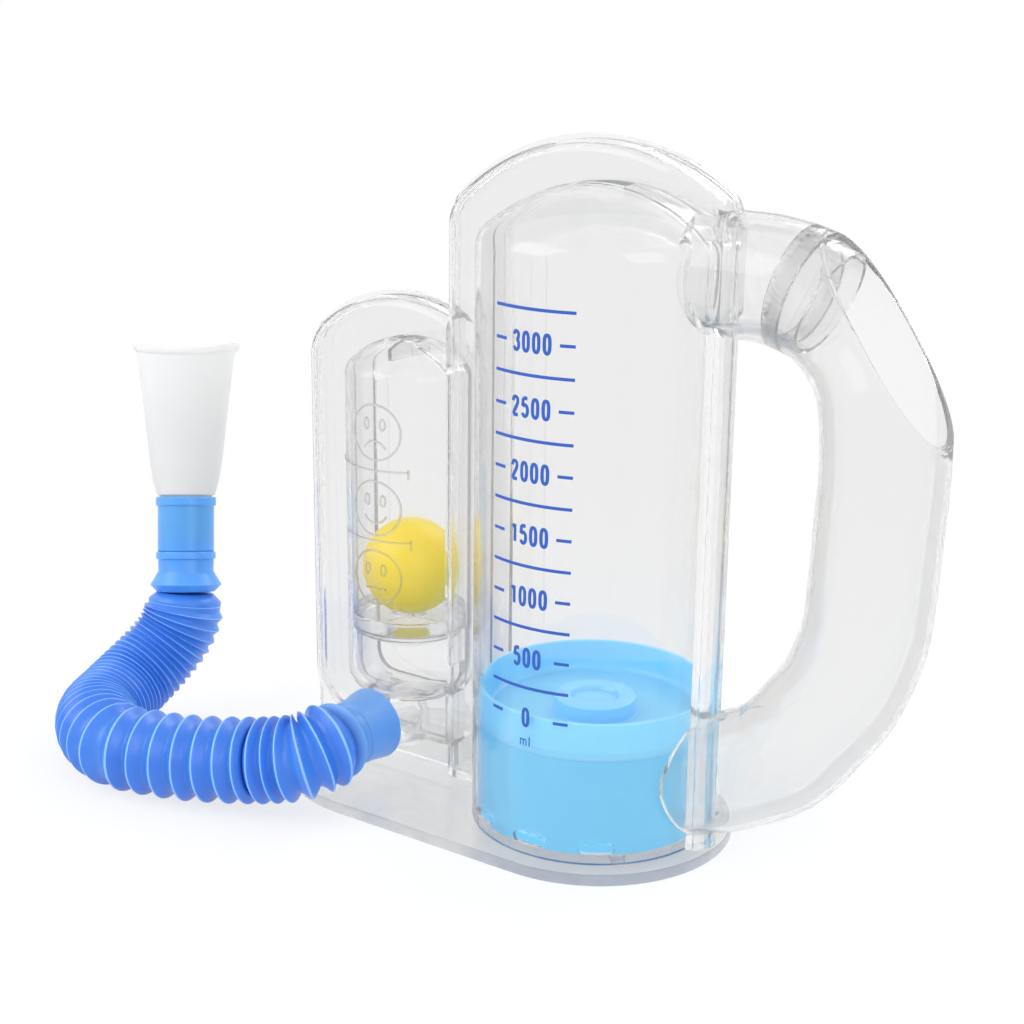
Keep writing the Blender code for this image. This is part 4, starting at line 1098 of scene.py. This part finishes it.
# Raised signs on the flow chamber: three plain faces and the strokes between them
raised = {
    "radius": 24.6, "centreX": -85.6, "turn": 5.0, "ring": 10.5, "rod": 0.42,
    "eyeAcross": 0.33, "eyeUp": 0.3, "eyeWide": 0.1, "mouthWide": 0.5,   # shares of the ring
    "flatMouth": 0.42, "curvedMouths": {1: (0.05, 205, 335), -1: (0.8, 25, 155)},
    "tick": (1.0, -2.6), "startTick": 1.6,
    "faces": ((141.8, -1), (112.8, 1), (85.8, 0)),
    "strokes": ((127.4, -47, 36), (100.2, -40, 38)),
}


def raisedLine(places, closed=False):
    s = raised
    angles = [math.radians(s["turn"]) + x / s["radius"] for x, z in places]
    line = [(s["centreX"] + s["radius"] * math.sin(angle), -s["radius"] * math.cos(angle), z)
            for angle, (x, z) in zip(angles, places)]
    return rodShape(line, s["rod"], 2, closed)


def buildRaisedSigns():
    s = raised
    r = s["ring"]
    lines = []
    for z, mood in s["faces"]:
        lines.append(raisedLine(arcPoints(0, z, r, 0, 360, 48)[:-1], True))
        for side in (-1, 1):
            eye = arcPoints(side * r * s["eyeAcross"], z + r * s["eyeUp"], r * s["eyeWide"],
                            0, 360, 12, stretch=2)
            lines.append(raisedLine(eye[:-1], True))
        if mood == 0:
            end = r * s["flatMouth"]
            mouthLine = [(-end, z - end), (end, z - end)]
        else:
            down, start, stop = s["curvedMouths"][mood]
            mouthLine = arcPoints(0, z - r * down, r * s["mouthWide"], start, stop, 14)
        lines.append(raisedLine(mouthLine))
    for z, start, end in s["strokes"]:
        first, last = [math.radians(a - s["turn"]) * s["radius"] for a in (start, end)]
        lines.append(raisedLine([(first + (last - first) * i / 20, z) for i in range(21)]))
        lines.append(raisedLine([(last, z + tick) for tick in s["tick"]]))
        lines.append(raisedLine([(first, z + s["startTick"]), (first, z)]))
    piece = meshObject("raisedSigns", gathered(lines), smooth=60)
    # The greyer tint on the signs is painted shade
    dress(piece, clearRaisedPaintedShade, "casing", even=False)


buildRaisedSigns()

# Floor, world and lights
print("studio")
studio = {
    "floorSize": 8.0, "floorColour": "#F4F5F6", "worldForThings": 0.84,
    "shadowFrom": 0.1, "shadowReach": 0.45, "shadowShare": 0.25,
}


# 1 for what is seen straight, in a reflection or through the clear walls, and 0 for light
def seenSocket(tree):
    path = addNode(tree, "ShaderNodeLightPath").outputs
    seen = addNode(tree, "ShaderNodeMath", operation="MAXIMUM",
                   links={0: path["Is Camera Ray"], 1: path["Is Glossy Ray"]})
    return addNode(tree, "ShaderNodeMath", operation="MAXIMUM",
                   links={0: seen.outputs[0], 1: path["Is Transmission Ray"]}).outputs[0]


floorBm = bmesh.new()
bmesh.ops.create_grid(floorBm, x_segments=1, y_segments=1, size=studio["floorSize"] / 2 / mm)
floorBm.transform(Matrix.Translation((0, 0, -0.2)))
floor = meshObject("studioFloor", floorBm)
material, tree = newMaterial("studioFloorPaint")
place = addNode(tree, "ShaderNodeTexCoord").outputs["Object"]
centred = addNode(tree, "ShaderNodeMapping", {"Location": (0.05, 0, 0)}, {"Vector": place})
distance = addNode(tree, "ShaderNodeVectorMath", links={0: centred.outputs[0]},
                   operation="LENGTH").outputs["Value"]
near = addNode(tree, "ShaderNodeMapRange", {
    "From Min": studio["shadowFrom"], "From Max": studio["shadowReach"],
    "To Min": 1 - studio["shadowShare"], "To Max": 1.0}, {"Value": distance})
paint = addNode(tree, "ShaderNodeBsdfDiffuse", {"Color": hexColour(studio["floorColour"])})
glow = addNode(tree, "ShaderNodeEmission", {"Color": (1, 1, 1, 1), "Strength": 1.0})
share = addNode(tree, "ShaderNodeMath", links={0: seenSocket(tree), 1: near.outputs[0]},
                operation="MULTIPLY")
mix = addNode(tree, "ShaderNodeMixShader",
              links={0: share.outputs[0], 1: paint.outputs[0], 2: glow.outputs[0]})
finishMaterial(tree, mix.outputs[0])
floor.data.materials.append(material)

world = bpy.data.worlds.new("studioWorld")
world.use_nodes = True
scene.world = world
tree = world.node_tree
tree.nodes.clear()
strength = addNode(tree, "ShaderNodeMapRange", {"To Min": studio["worldForThings"], "To Max": 1.0},
                   {"Value": seenSocket(tree)})
sky = addNode(tree, "ShaderNodeBackground", {"Color": (1, 1, 1, 1)},
              {"Strength": strength.outputs[0]})
addNode(tree, "ShaderNodeOutputWorld", links={"Surface": sky.outputs[0]})


def areaLight(name, place, target, size, power):
    light = bpy.data.lights.new(name, "AREA")
    light.shape = "RECTANGLE"
    light.size = size[0]
    light.size_y = size[1]
    light.energy = power
    lamp = bpy.data.objects.new(name, light)
    scene.collection.objects.link(lamp)
    way = Vector(target) - Vector(place)
    lamp.matrix_world = (Matrix.Translation(place)
                         @ way.to_track_quat("-Z", "Y").to_matrix().to_4x4())


middle = (-0.04, 0, 0.12)
areaLight("keySoftbox", (-0.9, -1.0, 1.1), middle, (1.2, 1.2), 11)
areaLight("fillSoftbox", (1.2, -0.5, 0.8), middle, (0.8, 1.1), 5)
areaLight("backSoftbox", (0.1, 1.1, 1.0), middle, (0.8, 0.5), 4)
